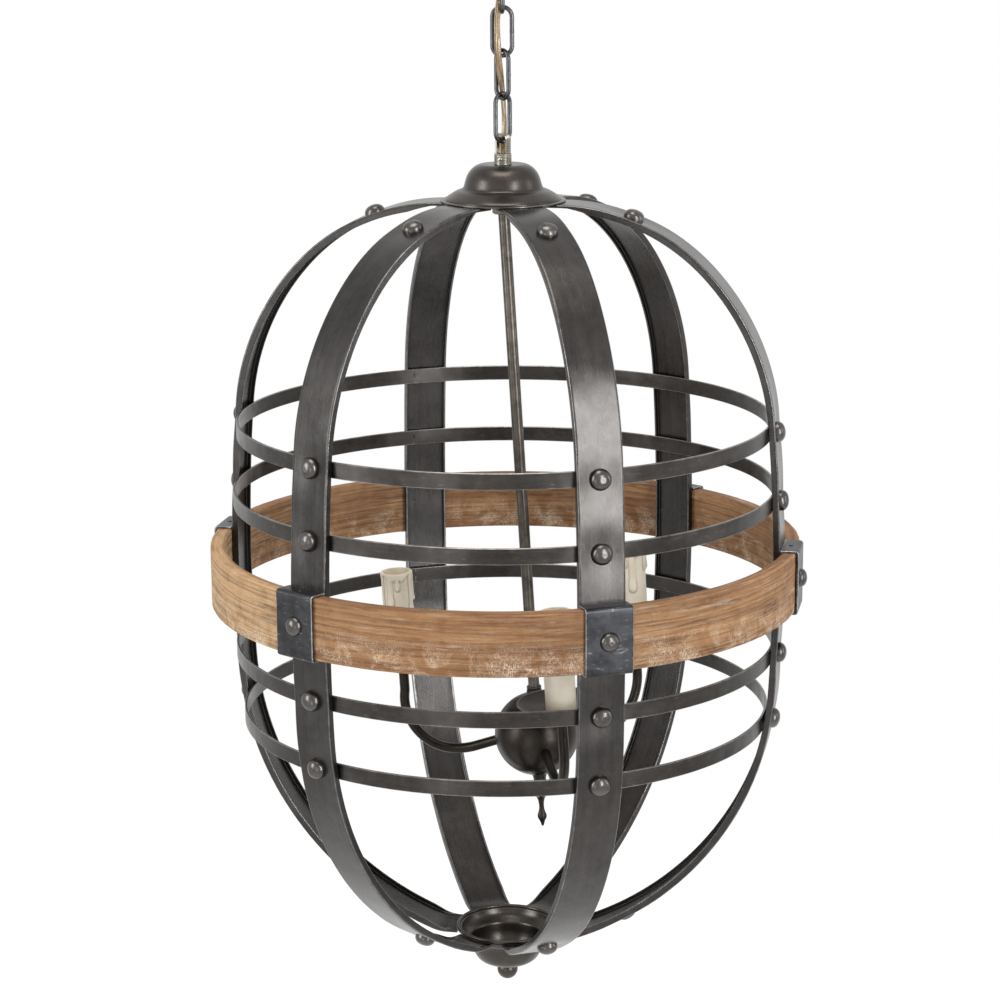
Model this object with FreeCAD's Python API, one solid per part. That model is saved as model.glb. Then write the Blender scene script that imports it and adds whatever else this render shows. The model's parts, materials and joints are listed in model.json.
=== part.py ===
import FreeCAD, Part
import math
import os

# A caged ceiling light: six steel bands bent to an egg, four hoops, a wooden ring and three candle arms,
# hung from a ceiling canopy by four chain links. Millimetres, +Z up.
# The origin is the middle of the ceiling face. The middle plane of the wooden ring is ring_level.
# Angles are counted from +X. A band lies on +X, so the light has a gap between bands on -Y, its front.

# Clearances
seat_gap = 0.05
link_play = 0.3
overrun = 4.0

# Faces round a turned piece: a round hole in it and the shaft in that hole have the same corners
round_sides = 24
small_sides = 12

# Bands: the meridian of their outer face is arcs that run into each other, each made of flats
band_count = 6
band_width = 38.0
band_thickness = 2.5
lip_depth = 6.0
lip_thickness = 1.8
cage_radius = 234.0
top_side_radius = 1434.0
top_side_deg = 5.25
top_side_shares = (0.22, 0.7, 1.0)
top_shoulder_radius = 207.0
top_shoulder_deg = 43.6
top_shoulder_chords = 5
top_crown_shares = (0.16, 0.32, 0.48, 0.64, 0.82, 1.0)
bottom_side_radius = 1790.0
bottom_side_deg = 3.0
bottom_side_shares = (0.31, 1.0)
bottom_shoulder_radius = 263.0
bottom_crown_radius = 36.71665
bottom_shoulder_chords = 8
bottom_crown_shares = (0.5, 1.0)
pole_flat_radius = 50.0
top_tab_end = 36.0
bottom_tab_end = 40.7

# Hoops
hoop_height = 13.0
hoop_thickness = 2.2
hoop_sides = 36
near_hoop_level = 65.0
far_hoop_level = 122.5

# Wooden ring and its clamps
wood_height = 50.0
wood_thickness = 13.0
wood_joint_gap = 0.2
wood_chords = 6
clamp_width = 39.0
clamp_thickness = 2.0
clamp_lip = 5.0

# Rivets: heads with few faces, because there are many
rivet_radius = 8.5
rivet_height = 6.0
clamp_rivet_radius = 7.8
clamp_rivet_height = 5.6
top_rivet_distance = 108.5
bottom_rivet_distance = 105.0
rivet_sides = 8
rivet_shoulder_shares = (0.78, 0.62)

# Cap and disc on top of the cage
disc_radius = 51.5
disc_thickness = 1.5
cap_radius = 47.5
cap_height = 29.0
cap_wall = 1.2
cap_outline_shares = (
    (1.0, 0.0), (1.0, 0.05), (0.76, 0.27), (0.685, 0.37), (0.62, 0.73), (0.463, 1.0),
)

# Cup in the bottom of the cage, and its ball
cup_radius = 44.0
cup_depth = 30.5
cup_wall = 1.2
cup_bead_height = 3.2
cup_bead_width = 2.4
cup_outline_shares = (
    (1.0, 0.0), (0.92, 0.0), (0.79, 0.26), (0.72, 0.34), (0.655, 0.72), (0.49, 1.0),
)
ball_radius = 9.0
ball_neck_radius = 4.0
ball_neck = 1.2
ball_stud_radius = 3.0
ball_stud_head_radius = 5.5
ball_stud_head_height = 1.6

# Threaded loop, one on the cap and one on the canopy
loop_radius = 7.25
loop_stem_height = 8.5
loop_reach = 22.5
loop_bar_radius = 2.2
loop_ear_thickness = 1.6
loop_head_depth = 6.0
loop_bore_radius = 3.2
nipple_radius = 5.0
nut_across_flats = 17.0
nut_height = 5.0

# Chain
link_count = 4
link_length = 42.5
link_width = 19.5
wire_radius = 1.85
wire_sides = 8
bend_steps = 6
link_turn_deg = (-75.0, 10.0, -40.0, 55.0)
link_plays = (0.3, 0.65, 0.3)

# Ceiling canopy and the bar that carries it
canopy_radius = 60.0
canopy_height = 28.0
canopy_wall = 1.2
canopy_outline_shares = (
    (1.0, 0.0), (1.0, 0.22), (0.9, 0.34), (0.72, 0.44), (0.6, 0.82), (0.5, 1.0),
)
bar_length = 100.0
bar_width = 22.0
bar_thickness = 3.0
bar_slot_spacing = 74.0
bar_slot_length = 16.0
bar_slot_radius = 2.6
canopy_screw_spacing = 50.0
canopy_screw_radius = 2.0
canopy_screw_head_radius = 4.5
canopy_screw_head_height = 3.0

# Rod, ball and finial of the candle cluster. The rod leans, as it hangs in its nut with play
rod_lean_deg = 3.3
rod_lean_towards_deg = 14.0
rod_radius = 4.75
rod_bore_radius = 3.3
rod_nut_height = 10.0
rod_nut_cover = 5.0
nipple_end_gap = 1.0
hub_radius = 36.0
hub_drop = 458.0
hub_chords = 8
hub_socket_depth = 7.0
collar_radius = 6.4
collar_height = 6.5
finial_outline = (
    (5.6, -35.0), (5.6, -50.5), (9.2, -52.5), (9.2, -54.0), (3.4, -58.0), (2.1, -66.0), (3.9, -73.5),
    (3.9, -76.5), (1.6, -81.0), (0.8, -84.0),
)
finial_stud_radius = 3.0
finial_stud_top = -28.0

# Arms: sloping out of the ball, round a low arc, up past upright and back under the pan
arm_count = 3
arm_turn_deg = -68.0
arm_radius = 4.25
arm_sides = 8
arm_low_reach = 78.0
arm_low_drop = 17.5
arm_slope_deg = 18.0
arm_slope_radius = 70.0
arm_rise_radius = 42.0
arm_past_upright_deg = 10.0
arm_return_radius = 20.0
arm_step_deg = 17.0
arm_top = 52.0
arm_root = 31.0

# Pans, lamp holders and candle sleeves
pan_radius = 36.0
pan_wall = 1.2
pan_foot_radius = 7.0
pan_foot_height = 5.0
pan_flat_radius = 19.0
pan_rise = 7.0
pan_sides = 24
holder_radius = 10.4
holder_height = 76.0
holder_bore_radius = 7.1
holder_bore_depth = 24.0
holder_stem_radius = 3.0
stem_depth = 6.0
sleeve_radius = 12.6
sleeve_wall = 1.2
sleeve_height = 82.0
sleeve_sides = 20

# Supply cord: its route down through the chain, chosen by hand.
# It is cut halfway along the runs between links.
cord_radius = 1.6
cord_sides = 8
cord_route = (
    (0.0, 0.0, -20.0), (0.0, 0.0, -36.0), (5.4, -2.7, -44.5), (3.4, -3.6, -55.0), (-3.5, -4.4, -83.0),
    (-2.7, -5.8, -117.8), (-0.7, 6.4, -152.6), (0.0, 8.4, -180.5), (-1.3, 4.5, -191.0), (0.0, 0.0, -199.5),
    (0.0, 0.0, -214.0),
)
cord_cuts = (3, 4, 5, 6)
arc_share = 0.45
cord_arc_steps = 3

vector = FreeCAD.Vector
up = vector(0, 0, 1)
out = vector(1, 0, 0)
centre = vector(0, 0, 0)


def save(name, shape):
    shape.exportStep("parts/" + name + ".step")


def turned(shape, degrees):
    """A copy of the shape, turned about the upright axis."""
    copy = shape.copy()
    copy.rotate(centre, up, degrees)
    return copy


def moved(shape, x, y, z):
    copy = shape.copy()
    copy.translate(vector(x, y, z))
    return copy


def ring_of(radius, sides, at, across, along):
    """Corners of a regular polygon round the point at, in the plane of two directions."""
    corners = []
    for k in range(sides):
        a = 2 * math.pi * (k + 0.5) / sides
        corners.append(at + across * (radius * math.cos(a)) + along * (radius * math.sin(a)))
    return corners


def flat_face(corners):
    return Part.Face(Part.makePolygon(corners + corners[:1]))


def solid_of(faces):
    solid = Part.Solid(Part.makeShell(faces))
    if solid.Volume < 0:
        solid.reverse()
    return solid


def between(lower, upper):
    """Flat faces between two polygons of as many sides. A polygon of no size meets the other in triangles."""
    faces = []
    sides = len(lower)
    for k in range(sides):
        corners = [lower[k], lower[(k + 1) % sides], upper[(k + 1) % sides], upper[k]]
        if lower[0].isEqual(lower[1], seat_gap / 100):
            corners = corners[1:]
        elif upper[0].isEqual(upper[1], seat_gap / 100):
            corners = corners[:3]
        faces.append(flat_face(corners))
    return faces


def skinned(rings):
    """A solid bar through polygons in a row, closed by its two end faces."""
    faces = [flat_face(rings[0]), flat_face(rings[-1])]
    for lower, upper in zip(rings, rings[1:]):
        faces += between(lower, upper)
    return solid_of(faces)


def closed_ring(rings):
    """A ring-shaped solid through polygons, where the last one joins the first."""
    faces = []
    for lower, upper in zip(rings, rings[1:] + rings[:1]):
        faces += between(lower, upper)
    return solid_of(faces)


def hole_for(radius, sides):
    """Corner radius of a hole whose flats clear a shaft of that radius, however the shaft is turned."""
    return (radius + seat_gap) / math.cos(math.pi / sides)


def level_ring(r, z, sides):
    return ring_of(r, sides, vector(0, 0, z), out, vector(0, 1, 0))


def turned_bar(points, sides):
    """A turned piece about Z with flat facets, from (radius, height) points, closed at both ends."""
    return skinned([level_ring(r, z, sides) for r, z in points])


def turned_shell(outline, sides):
    """A turned piece about Z with flat facets, whose closed outline of (radius, height) points has a hole."""
    return closed_ring([level_ring(r, z, sides) for r, z in outline])


def tube(outer, inner, low, high, sides):
    return turned_shell(((inner, low), (outer, low), (outer, high), (inner, high)), sides)


def hexagon(across_flats, low, high):
    corner_radius = across_flats / math.sqrt(3)
    return turned_bar(((corner_radius, low), (corner_radius, high)), 6)


def prism(points, width):
    """A straight prism across Y from an outline of (x, z) points."""
    corners = [vector(x, -width / 2, z) for x, z in points]
    face = Part.Face(Part.makePolygon(corners + corners[:1]))
    return face.extrude(vector(0, width, 0))


# Meridian of the cage


def half_vertices(side_arc, shoulder_arc, shoulder_chords, crown_shares):
    """Vertices of the meridian from the middle plane to the pole: (centre r, centre z, radius, angle) each.

    They lie on three arcs that run into each other. The last arc ends level, at pole_flat_radius.
    side_arc is (radius, end angle, shares of its angle), shoulder_arc is (radius, end angle).
    """
    side_radius, side_deg, side_shares = side_arc
    shoulder_radius, shoulder_deg = shoulder_arc
    side_end = math.radians(side_deg)
    shoulder_end = math.radians(shoulder_deg)
    side_r = cage_radius - side_radius
    shoulder_r = side_r + (side_radius - shoulder_radius) * math.cos(side_end)
    shoulder_z = (side_radius - shoulder_radius) * math.sin(side_end)
    shoulder_reach = shoulder_r + shoulder_radius * math.cos(shoulder_end)
    crown_radius = (shoulder_reach - pole_flat_radius) / math.cos(shoulder_end)
    crown_z = shoulder_z + (shoulder_radius - crown_radius) * math.sin(shoulder_end)
    vertices = [(side_r, 0.0, side_radius, side_end * share) for share in side_shares]
    for k in range(1, shoulder_chords + 1):
        angle = side_end + (shoulder_end - side_end) * k / shoulder_chords
        vertices.append((shoulder_r, shoulder_z, shoulder_radius, angle))
    for share in crown_shares:
        angle = shoulder_end + (math.pi / 2 - shoulder_end) * share
        vertices.append((pole_flat_radius, crown_z, crown_radius, angle))
    return vertices


def shoulder_end_deg(side_radius, side_deg, shoulder_radius, crown_radius):
    """Where a shoulder arc runs into a crown arc of a given radius, which ends level at pole_flat_radius."""
    shoulder_r = cage_radius - side_radius + (side_radius - shoulder_radius) * math.cos(math.radians(side_deg))
    return math.degrees(math.acos((pole_flat_radius - shoulder_r) / (shoulder_radius - crown_radius)))


bottom_shoulder_deg = shoulder_end_deg(bottom_side_radius, bottom_side_deg, bottom_shoulder_radius, bottom_crown_radius)
top_vertices = half_vertices(
    (top_side_radius, top_side_deg, top_side_shares), (top_shoulder_radius, top_shoulder_deg),
    top_shoulder_chords, top_crown_shares)
bottom_vertices = half_vertices(
    (bottom_side_radius, bottom_side_deg, bottom_side_shares), (bottom_shoulder_radius, bottom_shoulder_deg),
    bottom_shoulder_chords, bottom_crown_shares)


def inset_points(vertices, inset):
    """The vertices as (r, height) points, set in by inset towards the middle of their arcs."""
    points = []
    for r, z, radius, a in vertices:
        points.append((r + (radius - inset) * math.cos(a), z + (radius - inset) * math.sin(a)))
    return points


top_pole = inset_points(top_vertices, 0.0)[-1][1]
bottom_pole = -inset_points(bottom_vertices, 0.0)[-1][1]


def meridian_at(level, inset=0.0):
    """Radius of the meridian, set in by inset, at a level above or below the ring, and the slope there."""
    points = inset_points(top_vertices if level >= 0 else bottom_vertices, inset)
    points = [(points[0][0], 0.0)] + points
    height = abs(level)
    for (r1, z1), (r2, z2) in zip(points, points[1:]):
        if height <= z2:
            slope = math.atan2(r1 - r2, z2 - z1)
            return r1 + (r2 - r1) * (height - z1) / (z2 - z1), math.copysign(slope, level)
    return points[-1][0], math.pi / 2


def height_at(distance, vertices):
    """Height and slope of the meridian at a distance from the axis, near a pole."""
    points = inset_points(vertices, 0.0)
    for (r1, z1), (r2, z2) in zip(points, points[1:]):
        if r2 <= distance <= r1:
            share = (r1 - distance) / (r1 - r2)
            return z1 + (z2 - z1) * share, math.atan2(r1 - r2, z2 - z1)


def band_strip(outer_inset, inner_inset, with_tabs, width):
    """A strip along the whole meridian between two insets, width wide about the middle of the band."""
    loops = []
    for inset in (outer_inset, inner_inset):
        top = inset_points(top_vertices, inset)
        bottom = [(r, -z) for r, z in inset_points(bottom_vertices, inset)]
        if with_tabs:
            top.append((top_tab_end, top[-1][1]))
            bottom.append((bottom_tab_end, bottom[-1][1]))
        else:
            top = top[:-1]
            bottom = bottom[:-1]
        loops.append(bottom[::-1] + top)
    outer, inner = loops
    return prism(outer + inner[::-1], width)


def make_band():
    """A channel: a flat web that ends in level tabs, with two lips turned inwards that stop short of them."""
    web = band_strip(0.0, band_thickness, True, band_width)
    lips = []
    for side in (-1, 1):
        lip = band_strip(band_thickness, lip_depth, False, lip_thickness)
        lips.append(moved(lip, 0, side * (band_width - lip_thickness) / 2, 0))
    return web.fuse(lips).removeSplitter()


# Cage


def make_hoop(level):
    """A flat hoop whose flats lie on the inner edges of the lips, at its rim where the cage is narrower."""
    far_edge = math.copysign(abs(level) + hoop_height / 2, level)
    flat = meridian_at(far_edge, lip_depth)[0] - seat_gap
    corner = 1 / math.cos(math.pi / hoop_sides)
    low = level - hoop_height / 2
    return tube(flat * corner, (flat - hoop_thickness) * corner, low, low + hoop_height, hoop_sides)


wood_inner = cage_radius + seat_gap
wood_outer = wood_inner + wood_thickness


def make_wood_segment():
    """One bent piece of the ring, from the middle of one band to the middle of the next.

    It has a flat behind each clamp as wide as the band, and even flats between them.
    """
    half = wood_height / 2
    sixth = 2 * math.pi / band_count
    joint = wood_joint_gap / (2 * wood_outer)
    flat = math.asin(band_width / 2 / wood_inner)
    corner = 1 / math.cos(flat)
    stations = [(joint, 1.0)]
    for k in range(wood_chords + 1):
        stations.append((flat + (sixth - 2 * flat) * k / wood_chords, corner))
    stations.append((sixth - joint, 1.0))
    rings = []
    for angle, grown in stations:
        along = vector(math.cos(angle), math.sin(angle), 0)
        rings.append([
            along * (r * grown) + up * z for r, z in (
                (wood_inner, -half), (wood_outer, -half), (wood_outer, half), (wood_inner, half))
        ])
    return skinned(rings)


clamp_inner = wood_outer + seat_gap
clamp_outer = clamp_inner + clamp_thickness


def make_clamp():
    """A bent plate: flange on top of the wood as far as the band, face in front, short lip under it."""
    near = wood_height / 2 + seat_gap
    far = near + clamp_thickness
    flange_end = cage_radius + seat_gap
    lip_end = clamp_inner - clamp_lip
    return prism((
        (flange_end, near), (clamp_inner, near), (clamp_inner, -near), (lip_end, -near), (lip_end, -far),
        (clamp_outer, -far), (clamp_outer, far), (flange_end, far),
    ), clamp_width)


def make_rivet(radius, height):
    """A low domed head on the plane z = 0."""
    shoulder_radius, shoulder_height = rivet_shoulder_shares
    rings = [
        level_ring(radius, 0, rivet_sides),
        level_ring(radius * shoulder_radius, height * shoulder_height, rivet_sides),
        level_ring(0, height, rivet_sides),
    ]
    faces = [flat_face(rings[0])] + between(rings[0], rings[1]) + between(rings[1], rings[2])
    return solid_of(faces)


def rivet_on_band(radius, height, distance, level, slope):
    """A rivet head on a face at a distance from the axis, tilted to the slope of the meridian there."""
    head = make_rivet(radius, height)
    head.rotate(centre, vector(0, 1, 0), 90 - math.degrees(slope))
    return moved(head, distance, 0, level)


def six_times(shapes):
    copies = []
    for k in range(band_count):
        copies += [turned(shape, 360 / band_count * k) for shape in shapes]
    return copies


def make_hoop_rivets():
    heads = []
    for level in (-far_hoop_level, -near_hoop_level, near_hoop_level, far_hoop_level):
        distance, slope = meridian_at(level)
        heads.append(rivet_on_band(rivet_radius, rivet_height, distance, level, slope))
    return Part.makeCompound(six_times(heads))


def make_pole_rivets():
    top_level, top_slope = height_at(top_rivet_distance, top_vertices)
    low_level, low_slope = height_at(bottom_rivet_distance, bottom_vertices)
    heads = [
        rivet_on_band(rivet_radius, rivet_height, top_rivet_distance, top_level, top_slope),
        rivet_on_band(rivet_radius, rivet_height, bottom_rivet_distance, -low_level, -low_slope),
    ]
    return Part.makeCompound(six_times(heads))


def make_clamp_rivets():
    head = rivet_on_band(clamp_rivet_radius, clamp_rivet_height, clamp_outer, 0.0, 0.0)
    return Part.makeCompound(six_times([head]))


disc_top = top_pole + disc_thickness
cap_top = disc_top + cap_height


def make_disc():
    return tube(disc_radius, hole_for(nipple_radius, round_sides), top_pole, disc_top, round_sides)


def spun_shell(outline, wall, hole_radius):
    """A spun shell, open below, from an outline that rises from the rim inwards to the flat top."""
    top = outline[-1][1]
    inner = [(r - wall, max(z - wall, 0.0)) for r, z in outline if z > wall]
    inner = [(outline[0][0] - wall, 0.0)] + inner
    points = list(outline) + [(hole_radius, top), (hole_radius, top - wall)] + inner[::-1]
    return turned_shell(points, round_sides)


def make_cap():
    outline = [(r * cap_radius, z * cap_height) for r, z in cap_outline_shares]
    return moved(spun_shell(outline, cap_wall, hole_for(nipple_radius, round_sides)), 0, 0, disc_top)


cup_seat = bottom_pole + band_thickness
cup_bottom = cup_seat - cup_depth


def make_cup():
    """A spun cup whose beaded rim lies on the tabs of the bands."""
    lower = [(r * cup_radius, -z * cup_depth) for r, z in cup_outline_shares]
    upper = [(r - cup_wall, z + cup_wall) for r, z in lower[1:]]
    rim = [
        (cup_radius, cup_bead_height),
        (cup_radius - cup_bead_width, cup_bead_height),
        (cup_radius - cup_bead_width, cup_wall),
    ]
    hole = hole_for(ball_stud_radius, round_sides)
    points = [(hole, -cup_depth)] + lower[::-1] + rim + upper + [(hole, cup_wall - cup_depth)]
    return moved(turned_shell(points, round_sides), 0, 0, cup_seat)


def make_ball():
    """The ball under the cup, with a stud through the cup's bottom and a flat head inside."""
    ball_top = -ball_neck
    points = [(ball_stud_radius, 0.0), (ball_neck_radius, 0.0), (ball_neck_radius, ball_top)]
    chords = 5
    for k in range(1, chords + 1):
        a = math.pi * k / (chords + 1)
        points.append((ball_radius * math.sin(a), ball_top - ball_radius * (1 - math.cos(a))))
    head_low = cup_wall + seat_gap
    head = [
        (ball_stud_head_radius, head_low + ball_stud_head_height), (ball_stud_head_radius, head_low),
        (ball_stud_radius, head_low),
    ]
    return moved(turned_bar(head + points, small_sides), 0, 0, cup_bottom - seat_gap)


# Threaded loop


def make_loop(nipple_length):
    """A loop that stands on z = 0: a stem, a windowed head with a round bar across it, and a nipple below.

    The chain link passes through the window along X. The bar lies along Y.
    """
    stem = turned_shell((
        (loop_bore_radius, -nipple_length), (nipple_radius, -nipple_length), (nipple_radius, 0.0),
        (loop_radius, 0.0), (loop_radius, loop_stem_height), (loop_bore_radius, loop_stem_height),
    ), small_sides)
    ears = []
    for side in (-1, 1):
        ear = Part.makeBox(loop_head_depth, loop_ear_thickness, loop_reach - loop_stem_height)
        ear.translate(vector(-loop_head_depth / 2, -loop_ear_thickness / 2, loop_stem_height))
        ears.append(moved(ear, 0, side * (loop_radius - loop_ear_thickness / 2), 0))
    ends = [vector(0, side * loop_radius, loop_reach) for side in (-1, 1)]
    bar = skinned([ring_of(loop_bar_radius, wire_sides, end, out, up) for end in ends])
    return stem.fuse(ears + [bar]).removeSplitter()


def make_nut():
    """A hexagon locknut under z = 0."""
    bore = hole_for(nipple_radius, small_sides)
    hole = turned_bar(((bore, -nut_height - overrun), (bore, overrun)), small_sides)
    return hexagon(nut_across_flats, -nut_height, 0.0).cut(hole)


# Chain


bend_radius = link_width / 2 - wire_radius
link_centres = link_length - 2 * wire_radius
bar_to_wire = loop_bar_radius + wire_radius + link_play


def make_link():
    """An oblong ring of round wire about the origin, in the plane of X and Z."""
    straight = link_centres / 2 - bend_radius
    rings = []
    for end, start in ((straight, 0.0), (-straight, math.pi)):
        for k in range(bend_steps + 1):
            a = start + math.pi * k / bend_steps
            outward = vector(math.cos(a), 0, math.sin(a))
            at = outward * bend_radius + vector(0, 0, end)
            rings.append(ring_of(wire_radius, wire_sides, at, outward, vector(0, 1, 0)))
    return closed_ring(rings)


canopy_bar_level = -canopy_height - loop_reach
link_levels = []
pivot_levels = [canopy_bar_level]
wire_level = canopy_bar_level + bar_to_wire
for k in range(link_count):
    link_levels.append(wire_level - link_centres / 2)
    wire_level -= link_centres
    pivot_levels.append(wire_level)
    if k < len(link_plays):
        wire_level += 2 * wire_radius + link_plays[k]
lantern_bar_level = pivot_levels[-1] + bar_to_wire
ring_level = lantern_bar_level - loop_reach - cap_top


def in_lantern(shape):
    """Moves a piece from heights above the ring to its place under the ceiling."""
    return moved(shape, 0, 0, ring_level)


# Ceiling canopy


def make_canopy():
    """A spun canopy, open at the ceiling, with holes for the loop and for its two screws."""
    outline = [(r * canopy_radius, z * canopy_height) for r, z in canopy_outline_shares]
    shell = spun_shell(outline, canopy_wall, hole_for(nipple_radius, round_sides))
    shell.rotate(centre, out, 180)
    holes = []
    for side in (-1, 1):
        bore = hole_for(canopy_screw_radius, small_sides)
        hole = turned_bar(((bore, -canopy_height - overrun), (bore, 0.0)), small_sides)
        holes.append(moved(hole, 0, side * canopy_screw_spacing / 2, 0))
    return shell.cut(holes)


def make_crossbar():
    """A flat bar on the ceiling: a slot at each end, a middle hole, a short arm to each canopy screw."""
    half = bar_width / 2
    bar = Part.makeBox(bar_length, bar_width, bar_thickness, vector(-bar_length / 2, -half, -bar_thickness))
    arm_length = canopy_screw_spacing + bar_width / 2
    arm = Part.makeBox(half, arm_length, bar_thickness, vector(-half / 2, -arm_length / 2, -bar_thickness))
    bar = bar.fuse(arm)
    through = bar_thickness + 2 * overrun
    below = -bar_thickness - overrun
    nipple_bore = hole_for(nipple_radius, small_sides)
    screw_bore = hole_for(canopy_screw_radius, small_sides)
    cuts = [turned_bar(((nipple_bore, below), (nipple_bore, overrun)), small_sides)]
    for side in (-1, 1):
        straight = bar_slot_length / 2 - bar_slot_radius
        middle = side * bar_slot_spacing / 2
        cuts.append(Part.makeBox(
            2 * straight, 2 * bar_slot_radius, through, vector(middle - straight, -bar_slot_radius, below)))
        for end in (-straight, straight):
            cuts.append(Part.makeCylinder(bar_slot_radius, through, vector(middle + end, 0, below)))
        hole = turned_bar(((screw_bore, below), (screw_bore, overrun)), small_sides)
        cuts.append(moved(hole, 0, side * canopy_screw_spacing / 2, 0))
    return bar.cut(cuts).removeSplitter()


def make_canopy_screws():
    """Two long screws with domed heads under the canopy, up into the bar."""
    screws = []
    for side in (-1, 1):
        low = -canopy_height - seat_gap
        screw = turned_bar((
            (canopy_screw_radius, 0.0), (canopy_screw_radius, low), (canopy_screw_head_radius, low),
            (canopy_screw_head_radius, low - canopy_screw_head_height / 2),
            (canopy_screw_head_radius / 2, low - canopy_screw_head_height),
        ), small_sides)
        screws.append(moved(screw, 0, side * canopy_screw_spacing / 2, 0))
    return Part.makeCompound(screws)


# Candle cluster, made upright with the rod's top at the origin


rod_top_level = top_pole
arm_angles = [arm_turn_deg + 360 / arm_count * k for k in range(arm_count)]


def in_cluster(shape):
    """Leans a piece of the cluster about the top of the rod and moves it under the disc."""
    copy = shape.copy()
    towards = math.radians(rod_lean_towards_deg)
    copy.rotate(centre, vector(math.sin(towards), -math.cos(towards), 0), rod_lean_deg)
    return moved(copy, 0, 0, rod_top_level + ring_level)


def make_rod_nut():
    """The nut under the disc that takes the loop's nipple above and the rod below, trimmed level on top."""
    nut = hexagon(nut_across_flats, -rod_nut_height, nut_height)
    play = hole_for(nipple_radius + rod_nut_cover * math.tan(math.radians(rod_lean_deg)), round_sides)
    bore = hole_for(rod_radius, round_sides)
    nut = nut.cut(turned_bar((
        (bore, -rod_nut_height - overrun), (bore, -rod_nut_cover),
        (play, -rod_nut_cover), (play, nut_height + overrun),
    ), round_sides))
    nut = in_cluster(nut)
    size = 4 * nut_across_flats
    above = Part.makeBox(size, size, size, vector(-size / 2, -size / 2, ring_level + top_pole))
    return nut.cut(above)


def make_rod():
    low = hub_radius - hub_socket_depth - hub_drop
    return in_cluster(tube(rod_radius, rod_bore_radius, low, -rod_nut_cover, round_sides))


def make_hub():
    """The ball: chords of a circle, with a collar on top and sockets for rod, arms and finial."""
    points = []
    start = math.asin(collar_radius / hub_radius)
    for k in range(hub_chords + 1):
        a = start + (math.pi - 2 * start) * k / hub_chords
        points.append((hub_radius * math.sin(a), hub_radius * math.cos(a)))
    collar_top = hub_radius + collar_height
    rod_hole = hole_for(rod_radius, round_sides)
    stud_hole = hole_for(finial_stud_radius, small_sides)
    ball = turned_bar([(collar_radius, collar_top)] + points, round_sides)
    socket_end = hub_radius - hub_socket_depth
    cuts = [
        turned_bar(((rod_hole, socket_end), (rod_hole, collar_top + overrun)), round_sides),
        turned_bar(((stud_hole, finial_stud_top), (stud_hole, -hub_radius - overrun)), small_sides),
    ]
    for angle in arm_angles:
        cuts.append(turned(skinned(arm_rings(hole_for(arm_radius, arm_sides))[:2]), angle))
    return in_cluster(moved(ball.cut(cuts), 0, 0, -hub_drop))


def make_finial():
    """The turned neck and drop under the ball, with a stud up into it."""
    low_face = -hub_radius * math.cos(math.asin(collar_radius / hub_radius))
    stud = [(finial_stud_radius, finial_stud_top), (finial_stud_radius, low_face)]
    outline = stud + [(finial_outline[0][0], low_face)] + list(finial_outline[1:])
    return in_cluster(moved(turned_bar(outline, small_sides), 0, 0, -hub_drop))


def arm_path():
    """Stations (reach, height, slope angle) along an arm, counted from the middle of the ball."""
    slope = math.radians(arm_slope_deg)
    past = math.radians(90 + arm_past_upright_deg)
    step = math.radians(arm_step_deg)
    low = -arm_low_drop
    stations = []
    low_start = arm_low_reach - arm_slope_radius * math.sin(slope)
    low_height = low + arm_slope_radius * (1 - math.cos(slope))
    stations.append((arm_root, low_height + (low_start - arm_root) * math.tan(slope), -slope))
    stations.append((low_start, low_height, -slope))
    stations.append((arm_low_reach, low, 0.0))
    steps = math.ceil(past / step)
    for k in range(1, steps + 1):
        a = past * k / steps
        rise = arm_rise_radius * (1 - math.cos(a))
        stations.append((arm_low_reach + arm_rise_radius * math.sin(a), low + rise, a))
    reach, height, a = stations[-1]
    back = math.radians(arm_past_upright_deg)
    reach -= arm_return_radius * (1 - math.cos(back))
    height += arm_return_radius * math.sin(back)
    stations.append((reach, height, math.pi / 2))
    stations.append((reach, arm_top, math.pi / 2))
    return stations


arm_reach = arm_path()[-1][0]


def arm_rings(radius):
    rings = []
    for reach, height, slope in arm_path():
        normal = vector(-math.sin(slope), 0, math.cos(slope))
        rings.append(ring_of(radius, arm_sides, vector(reach, 0, height), normal, vector(0, 1, 0)))
    return rings


def make_arm(angle):
    hole = hole_for(holder_stem_radius, small_sides)
    socket = turned_bar(((hole, arm_top - stem_depth - seat_gap), (hole, arm_top + overrun)), small_sides)
    arm = skinned(arm_rings(arm_radius)).cut(moved(socket, arm_reach, 0, 0))
    return in_cluster(moved(turned(arm, angle), 0, 0, -hub_drop))


def on_arm(shape, angle):
    """Moves a piece from the upright axis at the ball's middle height to the end of an arm."""
    return in_cluster(moved(turned(moved(shape, arm_reach, 0, 0), angle), 0, 0, -hub_drop))


pan_floor = arm_top + pan_foot_height + pan_wall


def make_pan(angle):
    """A shallow dish on a foot that takes the end of the arm."""
    low = arm_top
    under = arm_top + pan_foot_height
    rim = under + pan_rise + pan_wall
    hole = hole_for(holder_stem_radius, pan_sides)
    pan = turned_shell((
        (hole, low), (pan_foot_radius, low), (pan_foot_radius, under), (pan_flat_radius, under),
        (pan_radius, rim - pan_wall), (pan_radius, rim), (pan_radius - pan_wall, rim),
        (pan_flat_radius - pan_wall, pan_floor), (hole, pan_floor),
    ), pan_sides)
    return on_arm(pan, angle)


def make_holder(angle):
    """A lamp holder that stands on the pan, with a stem down into the arm and a threaded bore on top."""
    low = pan_floor + seat_gap
    top = low + holder_height
    body = turned_bar((
        (holder_stem_radius, arm_top - stem_depth), (holder_stem_radius, low),
        (holder_radius, low), (holder_radius, top),
    ), small_sides)
    bore_end = vector(0, 0, top - holder_bore_depth)
    bore = Part.makeCylinder(holder_bore_radius, holder_bore_depth + overrun, bore_end)
    return on_arm(body.cut(bore), angle)


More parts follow.
